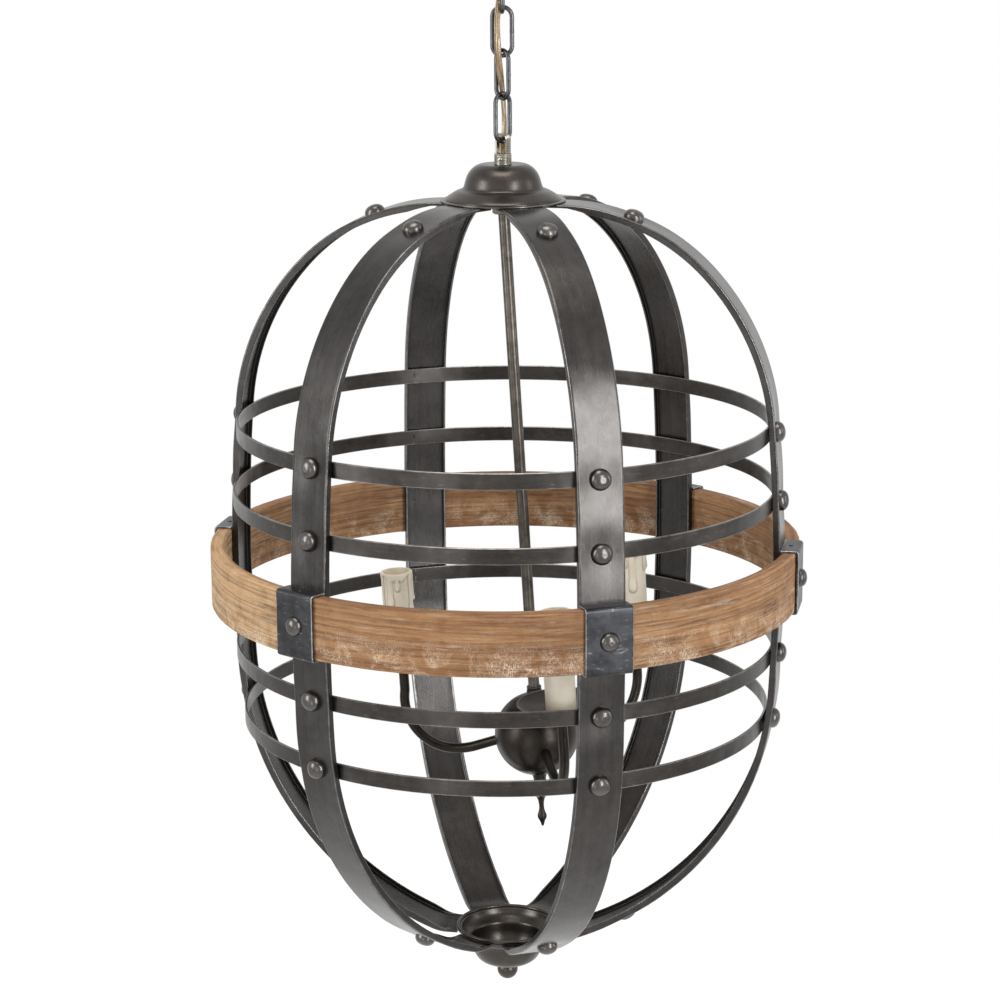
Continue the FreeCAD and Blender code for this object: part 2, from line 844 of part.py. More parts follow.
def make_sleeve(angle):
    """A candle sleeve: a plain tube over the lamp holder, which stands on the pan."""
    low = pan_floor + seat_gap
    high = low + sleeve_height
    return on_arm(tube(sleeve_radius, sleeve_radius - sleeve_wall, low, high, sleeve_sides), angle)


# Supply cord


def cord_edges():
    """Runs and tangent arcs in turn. An arc takes arc_share of the shorter run on each side of its corner."""
    corners = [vector(*p) for p in cord_route]
    edges = []
    radii = []
    start = corners[0]
    for before, corner, after in zip(corners, corners[1:], corners[2:]):
        back = (before - corner).normalize()
        on = (after - corner).normalize()
        turn = math.pi - back.getAngle(on)
        cut = arc_share * min((before - corner).Length, (after - corner).Length)
        radius = cut / math.tan(turn / 2)
        middle = corner + (back + on).normalize() * (math.hypot(cut, radius) - radius)
        edges.append(Part.LineSegment(start, corner + back * cut).toShape())
        edges.append(Part.Arc(corner + back * cut, middle, corner + on * cut).toShape())
        start = corner + on * cut
        radii.append(radius)
    edges.append(Part.LineSegment(start, corners[-1]).toShape())
    print("cord radii: " + ", ".join("%.0f" % r for r in radii))
    return edges


def cut_route(edges):
    """The route's edges in pieces, cut halfway along the runs that cord_cuts counts."""
    pieces = [[]]
    for k, edge in enumerate(edges):
        if k % 2 == 0 and k // 2 in cord_cuts:
            first, last = [vertex.Point for vertex in edge.Vertexes]
            middle = (first + last) / 2
            pieces[-1].append(Part.LineSegment(first, middle).toShape())
            pieces.append([Part.LineSegment(middle, last).toShape()])
        else:
            pieces[-1].append(edge)
    return pieces


def make_cord(edges):
    """A tube with flat facets along runs and arcs. Each ring follows the one before without twist."""
    stations = []
    for edge in edges:
        steps = 1 if edge.Curve.TypeId == "Part::GeomLine" else cord_arc_steps
        first, last = edge.ParameterRange
        for k in range(steps + 1):
            at = first + (last - first) * k / steps
            if k or not stations:
                stations.append((edge.valueAt(at), edge.tangentAt(at).normalize()))
    across = stations[0][1].cross(out).normalize()
    rings = []
    for at, along in stations:
        across = (across - along * across.dot(along)).normalize()
        rings.append(ring_of(cord_radius, cord_sides, at, across, along.cross(across)))
    faces = [flat_face(rings[0]), flat_face(rings[-1])]
    for lower, upper in zip(rings, rings[1:]):
        for k in range(cord_sides):
            after = (k + 1) % cord_sides
            faces.append(flat_face([lower[k], lower[after], upper[k]]))
            faces.append(flat_face([lower[after], upper[after], upper[k]]))
    cord = solid_of(faces)
    length = sum(edge.Length for edge in edges)
    section = flat_face(rings[0]).Area
    share = cord.Volume / (section * length)
    print("cord piece: length %.1f, volume over section times length %.4f" % (length, share))
    return cord


os.makedirs("parts", exist_ok=True)

save("ceiling_canopy", make_canopy())
save("mounting_crossbar", make_crossbar())
save("canopy_screws", make_canopy_screws())
canopy_loop = make_loop(canopy_height)
canopy_loop.rotate(centre, out, 180)
save("canopy_loop", turned(moved(canopy_loop, 0, 0, -canopy_height), link_turn_deg[0]))
canopy_nut = make_nut()
save("canopy_nut", moved(canopy_nut, 0, 0, -canopy_height + canopy_wall + nut_height))

link = make_link()
for k in range(link_count):
    save("chain_link_%d" % (k + 1), moved(turned(link, link_turn_deg[k]), 0, 0, link_levels[k]))

for k, path in enumerate(cut_route(cord_edges())):
    save("supply_cord_%d" % (k + 1), make_cord(path))

lower_nipple = cap_height + disc_thickness + rod_nut_cover - nipple_end_gap
hanging_loop = turned(make_loop(lower_nipple), link_turn_deg[-1])
save("hanging_loop", in_lantern(moved(hanging_loop, 0, 0, cap_top)))
save("top_cap", in_lantern(make_cap()))
save("top_disc", in_lantern(make_disc()))

band = make_band()
segment = make_wood_segment()
clamp = make_clamp()
for k in range(band_count):
    angle = 360 / band_count * k
    save("band_%d" % (k + 1), in_lantern(turned(band, angle)))
    save("wood_segment_%d" % (k + 1), in_lantern(turned(segment, angle)))
    save("ring_clamp_%d" % (k + 1), in_lantern(turned(clamp, angle)))

save("upper_hoop_1", in_lantern(make_hoop(far_hoop_level)))
save("upper_hoop_2", in_lantern(make_hoop(near_hoop_level)))
save("lower_hoop_1", in_lantern(make_hoop(-near_hoop_level)))
save("lower_hoop_2", in_lantern(make_hoop(-far_hoop_level)))
save("hoop_rivets", in_lantern(make_hoop_rivets()))
save("pole_rivets", in_lantern(make_pole_rivets()))
save("clamp_rivets", in_lantern(make_clamp_rivets()))
save("bottom_cup", in_lantern(make_cup()))
save("bottom_ball", in_lantern(make_ball()))

save("rod_nut", make_rod_nut())
save("centre_rod", make_rod())
save("hub_ball", make_hub())
save("hub_finial", make_finial())
for k, angle in enumerate(arm_angles):
    save("candle_arm_%d" % (k + 1), make_arm(angle))
    save("drip_pan_%d" % (k + 1), make_pan(angle))
    save("candle_sleeve_%d" % (k + 1), make_sleeve(angle))
save("lamp_holders", Part.makeCompound([make_holder(angle) for angle in arm_angles]))

print("ring level %.2f, pivots %s" % (ring_level, ", ".join("%.2f" % z for z in pivot_levels)))
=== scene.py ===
import json
import math

import bmesh
import bpy
import numpy as np
from mathutils import Matrix, Vector


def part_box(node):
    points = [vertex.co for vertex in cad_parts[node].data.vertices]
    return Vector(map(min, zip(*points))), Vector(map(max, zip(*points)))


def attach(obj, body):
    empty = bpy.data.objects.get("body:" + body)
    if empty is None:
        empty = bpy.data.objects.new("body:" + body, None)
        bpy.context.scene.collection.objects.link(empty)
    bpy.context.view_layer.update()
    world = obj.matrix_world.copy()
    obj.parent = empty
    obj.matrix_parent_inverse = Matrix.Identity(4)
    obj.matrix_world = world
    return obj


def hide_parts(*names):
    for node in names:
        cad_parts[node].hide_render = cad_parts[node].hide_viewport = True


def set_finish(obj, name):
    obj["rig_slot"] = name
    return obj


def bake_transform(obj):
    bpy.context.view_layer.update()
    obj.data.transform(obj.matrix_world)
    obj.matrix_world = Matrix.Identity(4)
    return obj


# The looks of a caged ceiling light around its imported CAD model. Metres, +Z up, origin in the ceiling.
# The cage's own heights are counted from ring_level, the middle plane of its wooden ring.

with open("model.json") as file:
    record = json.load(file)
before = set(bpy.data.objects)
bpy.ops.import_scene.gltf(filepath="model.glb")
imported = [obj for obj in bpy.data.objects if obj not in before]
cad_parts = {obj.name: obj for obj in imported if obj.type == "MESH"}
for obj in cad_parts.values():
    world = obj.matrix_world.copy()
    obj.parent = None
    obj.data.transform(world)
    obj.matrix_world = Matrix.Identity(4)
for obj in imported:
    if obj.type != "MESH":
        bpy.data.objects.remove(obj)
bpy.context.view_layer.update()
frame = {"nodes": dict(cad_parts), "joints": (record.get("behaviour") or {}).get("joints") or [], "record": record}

mm = 0.001
band_count = 6
streak_share = 0.04

ring_low, ring_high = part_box("wood_segment_1")
ring_level = (ring_low.z + ring_high.z) / 2
canopy_height = -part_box("ceiling_canopy")[0].z
disc_low, disc_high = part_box("top_disc")
cap_low, cap_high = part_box("top_cap")


def turned(deg, axis="Z"):
    return Matrix.Rotation(math.radians(deg), 4, axis)


def new_object(name, data):
    made = bpy.data.objects.new(name, data)
    bpy.context.scene.collection.objects.link(made)
    return made


# Camera

camera_distance = 2.2686
camera_turn_deg = 11.53
camera_height = 0.5948
camera_pitch_deg = 13.367
camera_roll_deg = -0.355
camera_aside = -0.00407
lens_mm = 100.0
sensor_mm = 36.0


def make_camera():
    data = bpy.data.cameras.new("camera")
    data.lens = lens_mm
    data.sensor_width = sensor_mm
    data.clip_start = 0.05
    data.clip_end = 100.0
    camera = new_object("camera", data)
    camera.matrix_world = (
        turned(camera_turn_deg)
        @ Matrix.Translation((camera_aside, -camera_distance, ring_level + camera_height))
        @ turned(90 - camera_pitch_deg, "X")
        @ turned(camera_roll_deg)
    )
    bpy.context.scene.camera = camera


make_camera()


# Materials: helpers


class Nodes:
    """An emptied node tree with short calls that add nodes. A value is a number, a vector or a socket."""

    def __init__(self, tree):
        tree.nodes.clear()
        self.tree = tree

    def put(self, value, socket):
        """Links a socket to another, or sets it to a plain value."""
        if isinstance(value, bpy.types.NodeSocket):
            self.tree.links.new(value, socket)
        elif socket.type == "RGBA":
            socket.default_value = (*value, 1.0)
        else:
            socket.default_value = value

    def filled(self, kind, values):
        """A new node with values in its inputs, by name or number."""
        node = self.tree.nodes.new("ShaderNode" + kind)
        for key, value in values.items():
            self.put(value, node.inputs[key])
        return node

    def calculate(self, operation, first, second):
        node = self.filled("Math", {0: first, 1: second})
        node.operation = operation
        return node.outputs[0]

    def times(self, first, second):
        return self.calculate("MULTIPLY", first, second)

    def weighted(self, share, first, second):
        """A share of the first value and the rest of the second."""
        return self.calculate("ADD", self.times(first, share), self.times(second, 1.0 - share))

    def vector(self, operation, first, second):
        node = self.filled("VectorMath", {0: first, 1: second})
        node.operation = operation
        return node.outputs[0]

    def spread_out(self, value, low, high, to_low=0.0, to_high=1.0):
        """The value with low to high drawn out over to_low to to_high, and held beyond them."""
        limits = {"From Min": low, "From Max": high, "To Min": to_low, "To Max": to_high}
        return self.filled("MapRange", {"Value": value, **limits}).outputs[0]

    def seen_directly(self):
        """1 for rays from the camera, reflected or let through, and 0 for the others."""
        rays = self.filled("LightPath", {})
        seen = self.calculate("MAXIMUM", rays.outputs["Is Camera Ray"], rays.outputs["Is Glossy Ray"])
        return self.calculate("MAXIMUM", seen, rays.outputs["Is Transmission Ray"])


class Look(Nodes):
    """A material with a principled shader."""

    def __init__(self, name):
        self.material = bpy.data.materials.new(name)
        self.material.use_nodes = True
        super().__init__(self.material.node_tree)
        self.shader = self.filled("BsdfPrincipled", {})
        self.filled("OutputMaterial", {0: self.shader.outputs[0]})

    def attribute(self, name):
        """What the mesh code writes on points: edge on outer corners, hollow in inner ones, and others."""
        node = self.filled("Attribute", {})
        node.attribute_name = name
        return node

    def value_of(self, name):
        return self.attribute(name).outputs["Fac"]

    def shifted(self, vector):
        """The vector moved by an amount of each object's own, so that like pieces differ."""
        own = self.times(self.filled("ObjectInfo", {}).outputs["Random"], 7.0)
        return self.vector("ADD", vector, own)

    def place(self):
        return self.shifted(self.filled("TexCoord", {}).outputs["Object"])

    def grain(self):
        """The coordinate that the mesh code writes: short along a piece's streaks, true across them."""
        return self.shifted(self.attribute("grain").outputs["Vector"])

    def noise(self, vector, scale, detail=4.0, roughness=0.55, distortion=0.0):
        values = {"Scale": scale, "Detail": detail, "Roughness": roughness, "Distortion": distortion}
        return self.filled("TexNoise", {"Vector": vector, **values}).outputs[0]

    def spots(self, vector, low, high, *noise_values):
        """Noise spread out between two of its values."""
        return self.spread_out(self.noise(vector, *noise_values), low, high)

    def bands(self, direction, values):
        node = self.filled("TexWave", values)
        node.wave_type = "BANDS"
        node.bands_direction = direction
        return node.outputs["Fac"]

    def blended(self, share, first, second, strength=1.0):
        """The first colour, and the second over it by a share times the strength."""
        node = self.tree.nodes.new("ShaderNodeMix")
        node.data_type = "RGBA"
        node.clamp_result = True
        self.put(share if strength == 1.0 else self.times(share, strength), node.inputs[0])
        self.put(first, node.inputs[6])
        self.put(second, node.inputs[7])
        return node.outputs[2]

    def finished(self, colour, roughness, layers, values):
        """The material with its colour, roughness, (height, strength, distance) bumps and other values."""
        for key, value in {"Base Color": colour, "Roughness": roughness, **values}.items():
            self.put(value, self.shader.inputs[key])
        normal = None
        for height, strength, distance in layers:
            node = self.filled("Bump", {"Strength": strength, "Distance": distance, "Height": height})
            if normal is not None:
                self.put(normal, node.inputs["Normal"])
            normal = node.outputs[0]
        self.put(normal, self.shader.inputs["Normal"])
        return self.material


def brushed_metal(name, dark, light, worn, roughness, streaks=1.0, dents=0.3, metallic=0.95, mottle=0.5,
                  scratched=0.4, worn_share=0.7, hollow_scale=40.0):
    """Metal with brushed streaks, clouds of tone, scratches, pits, dents, worn edges, and painted shade that
    darkens its inner corners.
    """
    look = Look(name)
    place = look.place()
    grain = look.grain()
    clouds = look.noise(place, 22.0, 5.0, 0.6, 0.4)
    small_clouds = look.noise(place, 110.0, 4.0, 0.65, 0.5)
    fine = look.noise(place, 520.0, 3.0, 0.6)
    fine_streaks = look.noise(grain, 1500.0, 5.0, 0.7)
    streak = look.weighted(0.45, look.noise(grain, 160.0, 4.0, 0.6), fine_streaks)
    cloud = look.spread_out(look.weighted(0.6, clouds, small_clouds), 0.36, 0.64)
    tone = look.weighted(mottle, cloud, look.spread_out(streak, 0.35, 0.65))
    colour = look.blended(tone, dark, light)
    colour = look.blended(look.spread_out(fine, 0.62, 0.75), colour, dark, 0.35)
    # Scratches follow the streaks, and lie where the clouds are light
    lines = look.spots(look.vector("MULTIPLY", grain, (0.4, 1.0, 1.0)), 0.62, 0.76, 2600.0, 2.0, 0.5)
    scratch = look.times(lines, look.spread_out(small_clouds, 0.48, 0.6))
    colour = look.blended(scratch, colour, worn, scratched)
    ragged = look.times(look.calculate("ADD", look.value_of("edge"), small_clouds), 0.8)
    colour = look.blended(look.spread_out(ragged, 0.85, 1.30, 0.0, worn_share), colour, worn)
    # Painted shade: the inner corners are darkened towards the dark colour, where shade would fall
    colour = look.blended(look.value_of("hollow"), colour, dark, 0.7)
    rough = look.spread_out(look.weighted(0.6, streak, clouds), 0.36, 0.64, *roughness)
    hollows = look.noise(place, hollow_scale, 1.5, 0.5)
    layers = [(hollows, dents, 3 * mm), (fine_streaks, 0.10 * streaks, 0.3 * mm), (fine, 0.06, 0.3 * mm)]
    return look.finished(colour, rough, layers, {"Metallic": metallic})


def wood_material(name, pale, warm, brown, white, light):
    """Sawn wood: rings drawn out along the grain, pores, darker streaks, and a pale wash with saw marks."""
    look = Look(name)
    place = look.place()
    grain = look.grain()

    def drawn_out(x):
        return look.vector("MULTIPLY", grain, (x, 1.0, 1.0))

    waves = {"Vector": grain, "Scale": 58.0, "Distortion": 13.0, "Detail": 4.0, "Detail Scale": 1.6}
    ring_lines = look.spread_out(look.bands("Y", waves), 0.55, 0.98)
    fibres = look.noise(grain, 900.0, 6.0, 0.7)
    pores = look.spots(grain, 0.56, 0.68, 1900.0, 3.0, 0.6)
    clouds = look.noise(place, 14.0, 4.0, 0.6, 0.6)
    blotches = look.noise(place, 46.0, 5.0, 0.65, 0.8)
    colour = look.blended(look.spots(drawn_out(0.6), 0.34, 0.66, 48.0, 4.0, 0.6, 1.4), warm, pale)
    # Partly painted light: each board is lightened by its share, most of all the board that faces the left lamp
    colour = look.blended(look.value_of("board"), colour, light, 0.72)
    colour = look.blended(ring_lines, colour, brown, 0.45)
    dark_streaks = look.spots(drawn_out(1.6), 0.5, 0.62, 150.0, 5.0, 0.62, 0.8)
    dark_streaks = look.times(dark_streaks, look.spread_out(clouds, 0.40, 0.60, 0.35, 1.0))
    colour = look.blended(dark_streaks, colour, brown, 0.75)
    colour = look.blended(look.spread_out(fibres, 0.44, 0.66), colour, pale, 0.4)
    colour = look.blended(look.spots(drawn_out(2.0), 0.57, 0.72, 330.0, 4.0, 0.6, 0.4), colour, white, 0.28)
    colour = look.blended(pores, colour, brown, 0.55)
    # The wash lies in patches, more on the lower half, where saw marks cross the grain
    split = look.filled("SeparateXYZ", {0: look.filled("TexCoord", {}).outputs["Object"]})
    height = look.calculate("SUBTRACT", split.outputs[2], ring_level)
    low_share = look.spread_out(height, 0.004, -0.021, 0.08, 1.0)
    upright = look.spots(look.vector("MULTIPLY", place, (1.0, 1.0, 0.3)), 0.52, 0.62, 1300.0, 3.0, 0.6)
    speckle = look.spots(place, 0.52, 0.62, 800.0, 3.0, 0.7)
    along = look.spots(grain, 0.54, 0.64, 1300.0, 4.0, 0.65)
    marks = look.calculate("MAXIMUM", look.calculate("MAXIMUM", upright, speckle), along)
    wash = look.times(low_share, look.spread_out(blotches, 0.45, 0.64))
    wash = look.times(wash, look.calculate("ADD", look.times(marks, 0.85), 0.02))
    colour = look.blended(wash, colour, white)
    colour = look.blended(look.spread_out(blotches, 0.50, 0.34), colour, brown, 0.22)
    ends = look.times(look.value_of("edge"), look.spread_out(blotches, 0.40, 0.6))
    colour = look.blended(ends, colour, pale, 0.5)
    layers = [(ring_lines, -0.25, 0.6 * mm), (fibres, 0.35, 0.4 * mm), (pores, -0.3, 0.4 * mm),
              (marks, 0.12, 0.3 * mm)]
    rough = look.spread_out(fibres, 0.3, 0.7, 0.55, 0.75)
    return look.finished(colour, rough, layers, {"Specular IOR Level": 0.3})


def wax_material(name, pale, deep, painted_hollow_shade):
    """Ivory wax: a little light under the surface, faint clouds, and painted shade darkening the hollows beside
    the runs.
    """
    look = Look(name)
    place = look.place()
    clouds = look.noise(place, 60.0, 4.0, 0.6)
    fine = look.noise(place, 700.0, 3.0, 0.6)
    colour = look.blended(look.spread_out(clouds, 0.35, 0.65), pale, deep)
    colour = look.blended(look.spread_out(fine, 0.6, 0.75), colour, deep, 0.25)
    # Painted shade: the hollows beside the runs are darkened
    colour = look.blended(look.value_of("hollow"), colour, painted_hollow_shade, 0.75)
    under = {"Subsurface Weight": 0.08, "Subsurface Radius": (0.002, 0.0015, 0.001), "Subsurface Scale": 1.0}
    layers = [(clouds, 0.15, 1.0 * mm), (fine, 0.05, 0.3 * mm)]
    return look.finished(colour, look.spread_out(clouds, 0.3, 0.7, 0.32, 0.5), layers, under)


def cord_material(name, amber, pale, copper, shade):
    """Clear amber jacket with the copper strands showing through as fine turns, lengthwise lines of painted
    highlight and painted shade, and painted shade in the groove.
    """
    look = Look(name)
    grain = look.grain()
    strands = look.bands("DIAGONAL", {"Vector": grain, "Scale": 420.0, "Distortion": 0.6})
    clouds = look.noise(look.place(), 120.0, 4.0, 0.6)
    lines = look.noise(look.vector("MULTIPLY", grain, (0.02, 1.0, 1.0)), 1500.0, 3.0, 0.6)
    # Painted shade and painted highlight: lengthwise dark and pale lines stand for the shaded groove and lit
    # crowns of the twin cores
    colour = look.blended(look.spread_out(lines, 0.42, 0.54), shade, amber)
    colour = look.blended(look.spread_out(lines, 0.52, 0.62), colour, pale)
    colour = look.blended(strands, colour, copper, 0.25)
    colour = look.blended(look.value_of("hollow"), colour, shade, 0.85)
    clear = {"Transmission Weight": 0.15, "IOR": 1.5, "Coat Weight": 0.6, "Coat Roughness": 0.12}
    layers = [(strands, 0.1, 0.2 * mm), (clouds, 0.1, 0.5 * mm)]
    return look.finished(colour, look.spread_out(clouds, 0.3, 0.7, 0.22, 0.4), layers, clear)


def plastic_material(name, pale, dull):
    """Moulded plastic with faint flow marks and a fine skin."""
    look = Look(name)
    place = look.place()
    clouds = look.noise(place, 90.0, 4.0, 0.6)
    colour = look.blended(look.spread_out(clouds, 0.3, 0.7), pale, dull)
    layers = [(look.noise(place, 1500.0, 2.0, 0.5), 0.06, 0.2 * mm)]
    return look.finished(colour, look.spread_out(clouds, 0.3, 0.7, 0.38, 0.52), layers, {})


# Materials of the light, by the record's slots

spun_metal = dict(
    dark=(0.042, 0.037, 0.033), light=(0.072, 0.064, 0.057), worn=(0.26, 0.23, 0.20), roughness=(0.27, 0.36),
    streaks=0.4, dents=0.05, mottle=0.8, scratched=0.1,
)
metals = {
    "band_steel": dict(
        dark=(0.034, 0.0312, 0.0292), light=(0.072, 0.067, 0.0635), worn=(0.29, 0.28, 0.27),
        roughness=(0.22, 0.33), dents=0.5, mottle=0.55, scratched=0.12, worn_share=0.5, hollow_scale=17.0,
    ),
    "hoop_steel": dict(
        dark=(0.032, 0.0285, 0.026), light=(0.070, 0.064, 0.059), worn=(0.30, 0.285, 0.27),
        roughness=(0.24, 0.40), mottle=0.6, scratched=0.3,
    ),
    "clamp_steel": dict(
        dark=(0.020, 0.020, 0.022), light=(0.066, 0.066, 0.070), worn=(0.40, 0.39, 0.39),
        roughness=(0.28, 0.46), streaks=1.8, mottle=0.75, scratched=0.6, worn_share=0.95,
    ),
    "rivet_steel": dict(
        dark=(0.055, 0.050, 0.047), light=(0.125, 0.117, 0.110), worn=(0.34, 0.32, 0.30),
        roughness=(0.25, 0.32), streaks=0.3, dents=0.12, mottle=0.7, scratched=0.1,
    ),
    "cap_metal": spun_metal,
    "canopy_metal": spun_metal,
    "pan_metal": dict(
        dark=(0.034, 0.030, 0.026), light=(0.062, 0.055, 0.048), worn=(0.20, 0.18, 0.16),
        roughness=(0.30, 0.42), streaks=0.4, dents=0.1, mottle=0.8, scratched=0.1,
    ),
    "arm_iron": dict(
        dark=(0.017, 0.014, 0.012), light=(0.038, 0.032, 0.027), worn=(0.16, 0.14, 0.12),
        roughness=(0.26, 0.40), streaks=0.15, dents=0.12, mottle=0.9, scratched=0.0,
    ),
    "chain_steel": dict(
        dark=(0.045, 0.043, 0.046), light=(0.12, 0.117, 0.122), worn=(0.42, 0.41, 0.40),
        roughness=(0.20, 0.32), streaks=0.15, dents=0.10, mottle=0.9, scratched=0.05,
    ),
    "loop_metal": dict(
        dark=(0.14, 0.13, 0.10), light=(0.46, 0.44, 0.37), worn=(0.72, 0.70, 0.64),
        roughness=(0.26, 0.42), dents=0.15, mottle=0.6, metallic=1.0,
    ),
    "plated_steel": dict(
        dark=(0.34, 0.33, 0.30), light=(0.58, 0.57, 0.54), worn=(0.75, 0.74, 0.72),
        roughness=(0.25, 0.42), dents=0.1, metallic=1.0,
    ),
}
materials = {name: brushed_metal(name, **values) for name, values in metals.items()}
materials["ring_wood"] = wood_material(
    "ring_wood", pale=(0.385, 0.198, 0.086), warm=(0.155, 0.060, 0.020), brown=(0.066, 0.021, 0.007),
    white=(0.78, 0.67, 0.52), light=(0.66, 0.43, 0.23),
)
# The darkest colour is painted shade for the hollows beside the wax runs
materials["candle_sleeve"] = wax_material(
    "candle_sleeve", pale=(0.93, 0.84, 0.69), deep=(0.82, 0.71, 0.55), painted_hollow_shade=(0.36, 0.28, 0.19),
)
# Its pale colour is a painted highlight and its shade colour is painted shade
materials["cord_jacket"] = cord_material(
    "cord_jacket", amber=(0.46, 0.30, 0.11), pale=(0.80, 0.64, 0.36), copper=(0.36, 0.17, 0.07),
    shade=(0.075, 0.036, 0.013),
)
materials["holder_plastic"] = plastic_material(
    "holder_plastic", pale=(0.83, 0.80, 0.72), dull=(0.72, 0.69, 0.60),
)


# Meshes: helpers


def in_mm(*points):
    """Points given in millimetres, as tuples in metres."""
    return [tuple(value * mm for value in point) for point in points]


def raised(outline, height):
    return [(r, z + height) for r, z in outline]


def angles(steps):
    return [2 * math.pi * n / steps for n in range(steps)]


def distances(points):
    """How far along a line of points each one is."""
    runs = [0.0]
    for first, second in zip(points, points[1:]):
        runs.append(runs[-1] + math.dist(first, second))
    return runs


def arc_stations(centre_r, centre_z, radius, start_deg, end_deg, steps):
    """Stations (radius, height, angle) on an arc, both ends included."""
    stations = []
    for k in range(steps + 1):
        a = math.radians(start_deg + (end_deg - start_deg) * k / steps)
        stations.append((centre_r + radius * math.cos(a), centre_z + radius * math.sin(a), a))
    return stations


def arc_points(*arc):
    return [(r, z) for r, z, a in arc_stations(*arc)]


def straight_stations(start, end, steps, angle):
    """Stations (radius, height, angle) on a straight line, both ends included."""
    stations = []
    for k in range(steps + 1):
        r, z = (first + (last - first) * k / steps for first, last in zip(start, end))
        stations.append((r, z, angle))
    return stations


def smooth_line(points, steps):
    """A smooth curve through (radius, height) points, with steps between each two."""
    line = []
    count = len(points)
    for k in range(count - 1):
        corners = (points[max(k - 1, 0)], points[k], points[k + 1], points[min(k + 2, count - 1)])
        for n in range(steps):
            t = n / steps
            spot = []
            for a, b, c, d in zip(*corners):
                bend = (2 * a - 5 * b + 4 * c - d) * t * t + (3 * b - a - 3 * c + d) * t ** 3
                spot.append(0.5 * (2 * b + (c - a) * t + bend))
            line.append(tuple(spot))
    line.append(tuple(points[-1]))
    return line


def corner_values(shape):
    """For each point, how sharply the surface turns outwards and how sharply inwards, each from 0 to 1."""
    edge = [0.0] * len(shape.verts)
    hollow = [0.0] * len(shape.verts)
    for line in shape.edges:
        if len(line.link_faces) == 2:
            turn_deg = math.degrees(line.calc_face_angle_signed(0.0))
            out = min(max((turn_deg - 24.0) / 16.0, 0.0), 1.0)
            inward = min(max((-turn_deg - 14.0) / 26.0, 0.0), 1.0)
            for corner in line.verts:
                edge[corner.index] = max(edge[corner.index], out)
                hollow[corner.index] = max(hollow[corner.index], inward)
    return edge, hollow


def write_layer(mesh, name, values):
    layer = mesh.attributes.new(name, "FLOAT", "POINT")
    layer.data.foreach_set("value", np.array(values, np.float32))


def new_piece(name, points, faces, grain, slot_name, sharp_deg=38.0, edge=None):
    """An object from points and faces in metres, with smooth shading and what the materials read.

    Each point has its grain coordinate and the values edge and hollow, where edge may be given.
    """
    mesh = bpy.data.meshes.new(name)
    mesh.from_pydata([tuple(p) for p in points], [], faces)
    shape = bmesh.new()
    shape.from_mesh(mesh)
    bmesh.ops.recalc_face_normals(shape, faces=shape.faces)
    found_edge, hollow = corner_values(shape)
    shape.to_mesh(mesh)
    shape.free()
    mesh.shade_smooth()
    mesh.set_sharp_from_angle(angle=math.radians(sharp_deg))
    layer = mesh.attributes.new("grain", "FLOAT_VECTOR", "POINT")
    layer.data.foreach_set("vector", np.array(grain, np.float32).ravel())
    write_layer(mesh, "edge", edge or found_edge)
    write_layer(mesh, "hollow", hollow)
    mesh.materials.append(materials[slot_name])
    piece = new_object(name, mesh)
    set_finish(piece, slot_name)
    return piece


def ring_faces(rings, sides, closed=False):
    """Quads between rings of as many points, and a face over each end of a row that isn't closed."""
    faces = []
    for j in range(rings if closed else rings - 1):
        a = j * sides
        b = (j + 1) % rings * sides
        for k in range(sides):
            n = (k + 1) % sides
            faces.append((a + k, a + n, b + n, b + k))
    if not closed:
        faces.append(tuple(range(sides))[::-1])
        faces.append(tuple(range((rings - 1) * sides, rings * sides)))
    return faces


def oval(at, side, up, steps):
    """Points round a place, from the end of the arm side by way of the end of the arm up."""
    return [Vector(at) + Vector(side) * math.cos(a) + Vector(up) * math.sin(a) for a in angles(steps)]


def swept(name, rings, slot_name, start=0.0, closed=False):
    """A bar through rings of points. Its grain runs along it, counted from start."""
    points = [p for ring in rings for p in ring]
    middles = [sum(ring, Vector()) / len(ring) for ring in rings]
    grain = []
    for ring, middle, run in zip(rings, middles, distances(middles)):
        for p in ring:
            off = p - middle
            grain.append(((start + run) * streak_share, off.x + off.y, off.z + (off.x - off.y) / 2))
    return new_piece(name, points, ring_faces(len(rings), len(rings[0]), closed), grain, slot_name)


def turned_shape(outline, steps, closed):
    """Corners (radius, angle, height, distance along the outline) of a turned shape, and its faces."""
    corners, rows, faces = [], [], []
    for (r, z), run in zip(outline, distances(outline)):
        start = len(corners)
        if r < 1e-7:
            corners.append((0.0, 0.0, z, run))
            rows.append([start] * steps)
        else:
            corners += [(r, a, z, run) for a in angles(steps)]
            rows.append(list(range(start, start + steps)))
    for lower, upper in zip(rows, rows[1:] + rows[:1] if closed else rows[1:]):
        for n in range(steps):
            m = (n + 1) % steps
            face = []
            for p in (lower[n], lower[m], upper[m], upper[n]):
                if p not in face:
                    face.append(p)
            if len(face) > 2:
                faces.append(tuple(face))
    return corners, faces


def lathed(name, outline, slot_name, steps=96, closed=True, at=(0, 0, 0), long_grain=False):
    """A turned piece about Z through the point at. Its outline is (radius, height) points in order.

    A closed outline goes round a wall. An open one begins and ends on the axis. The grain runs round the
    piece, or along it where long_grain is set.
    """
    corners, faces = turned_shape(outline, steps, closed)
    points, grain = [], []
    for r, a, z, run in corners:
        x, y = r * math.cos(a), r * math.sin(a)
        points.append(Vector(at) + Vector((x, y, z)))
        grain.append((run * streak_share, x, y) if long_grain else (run, x * streak_share, y * streak_share))
    return new_piece(name, points, faces, grain, slot_name)


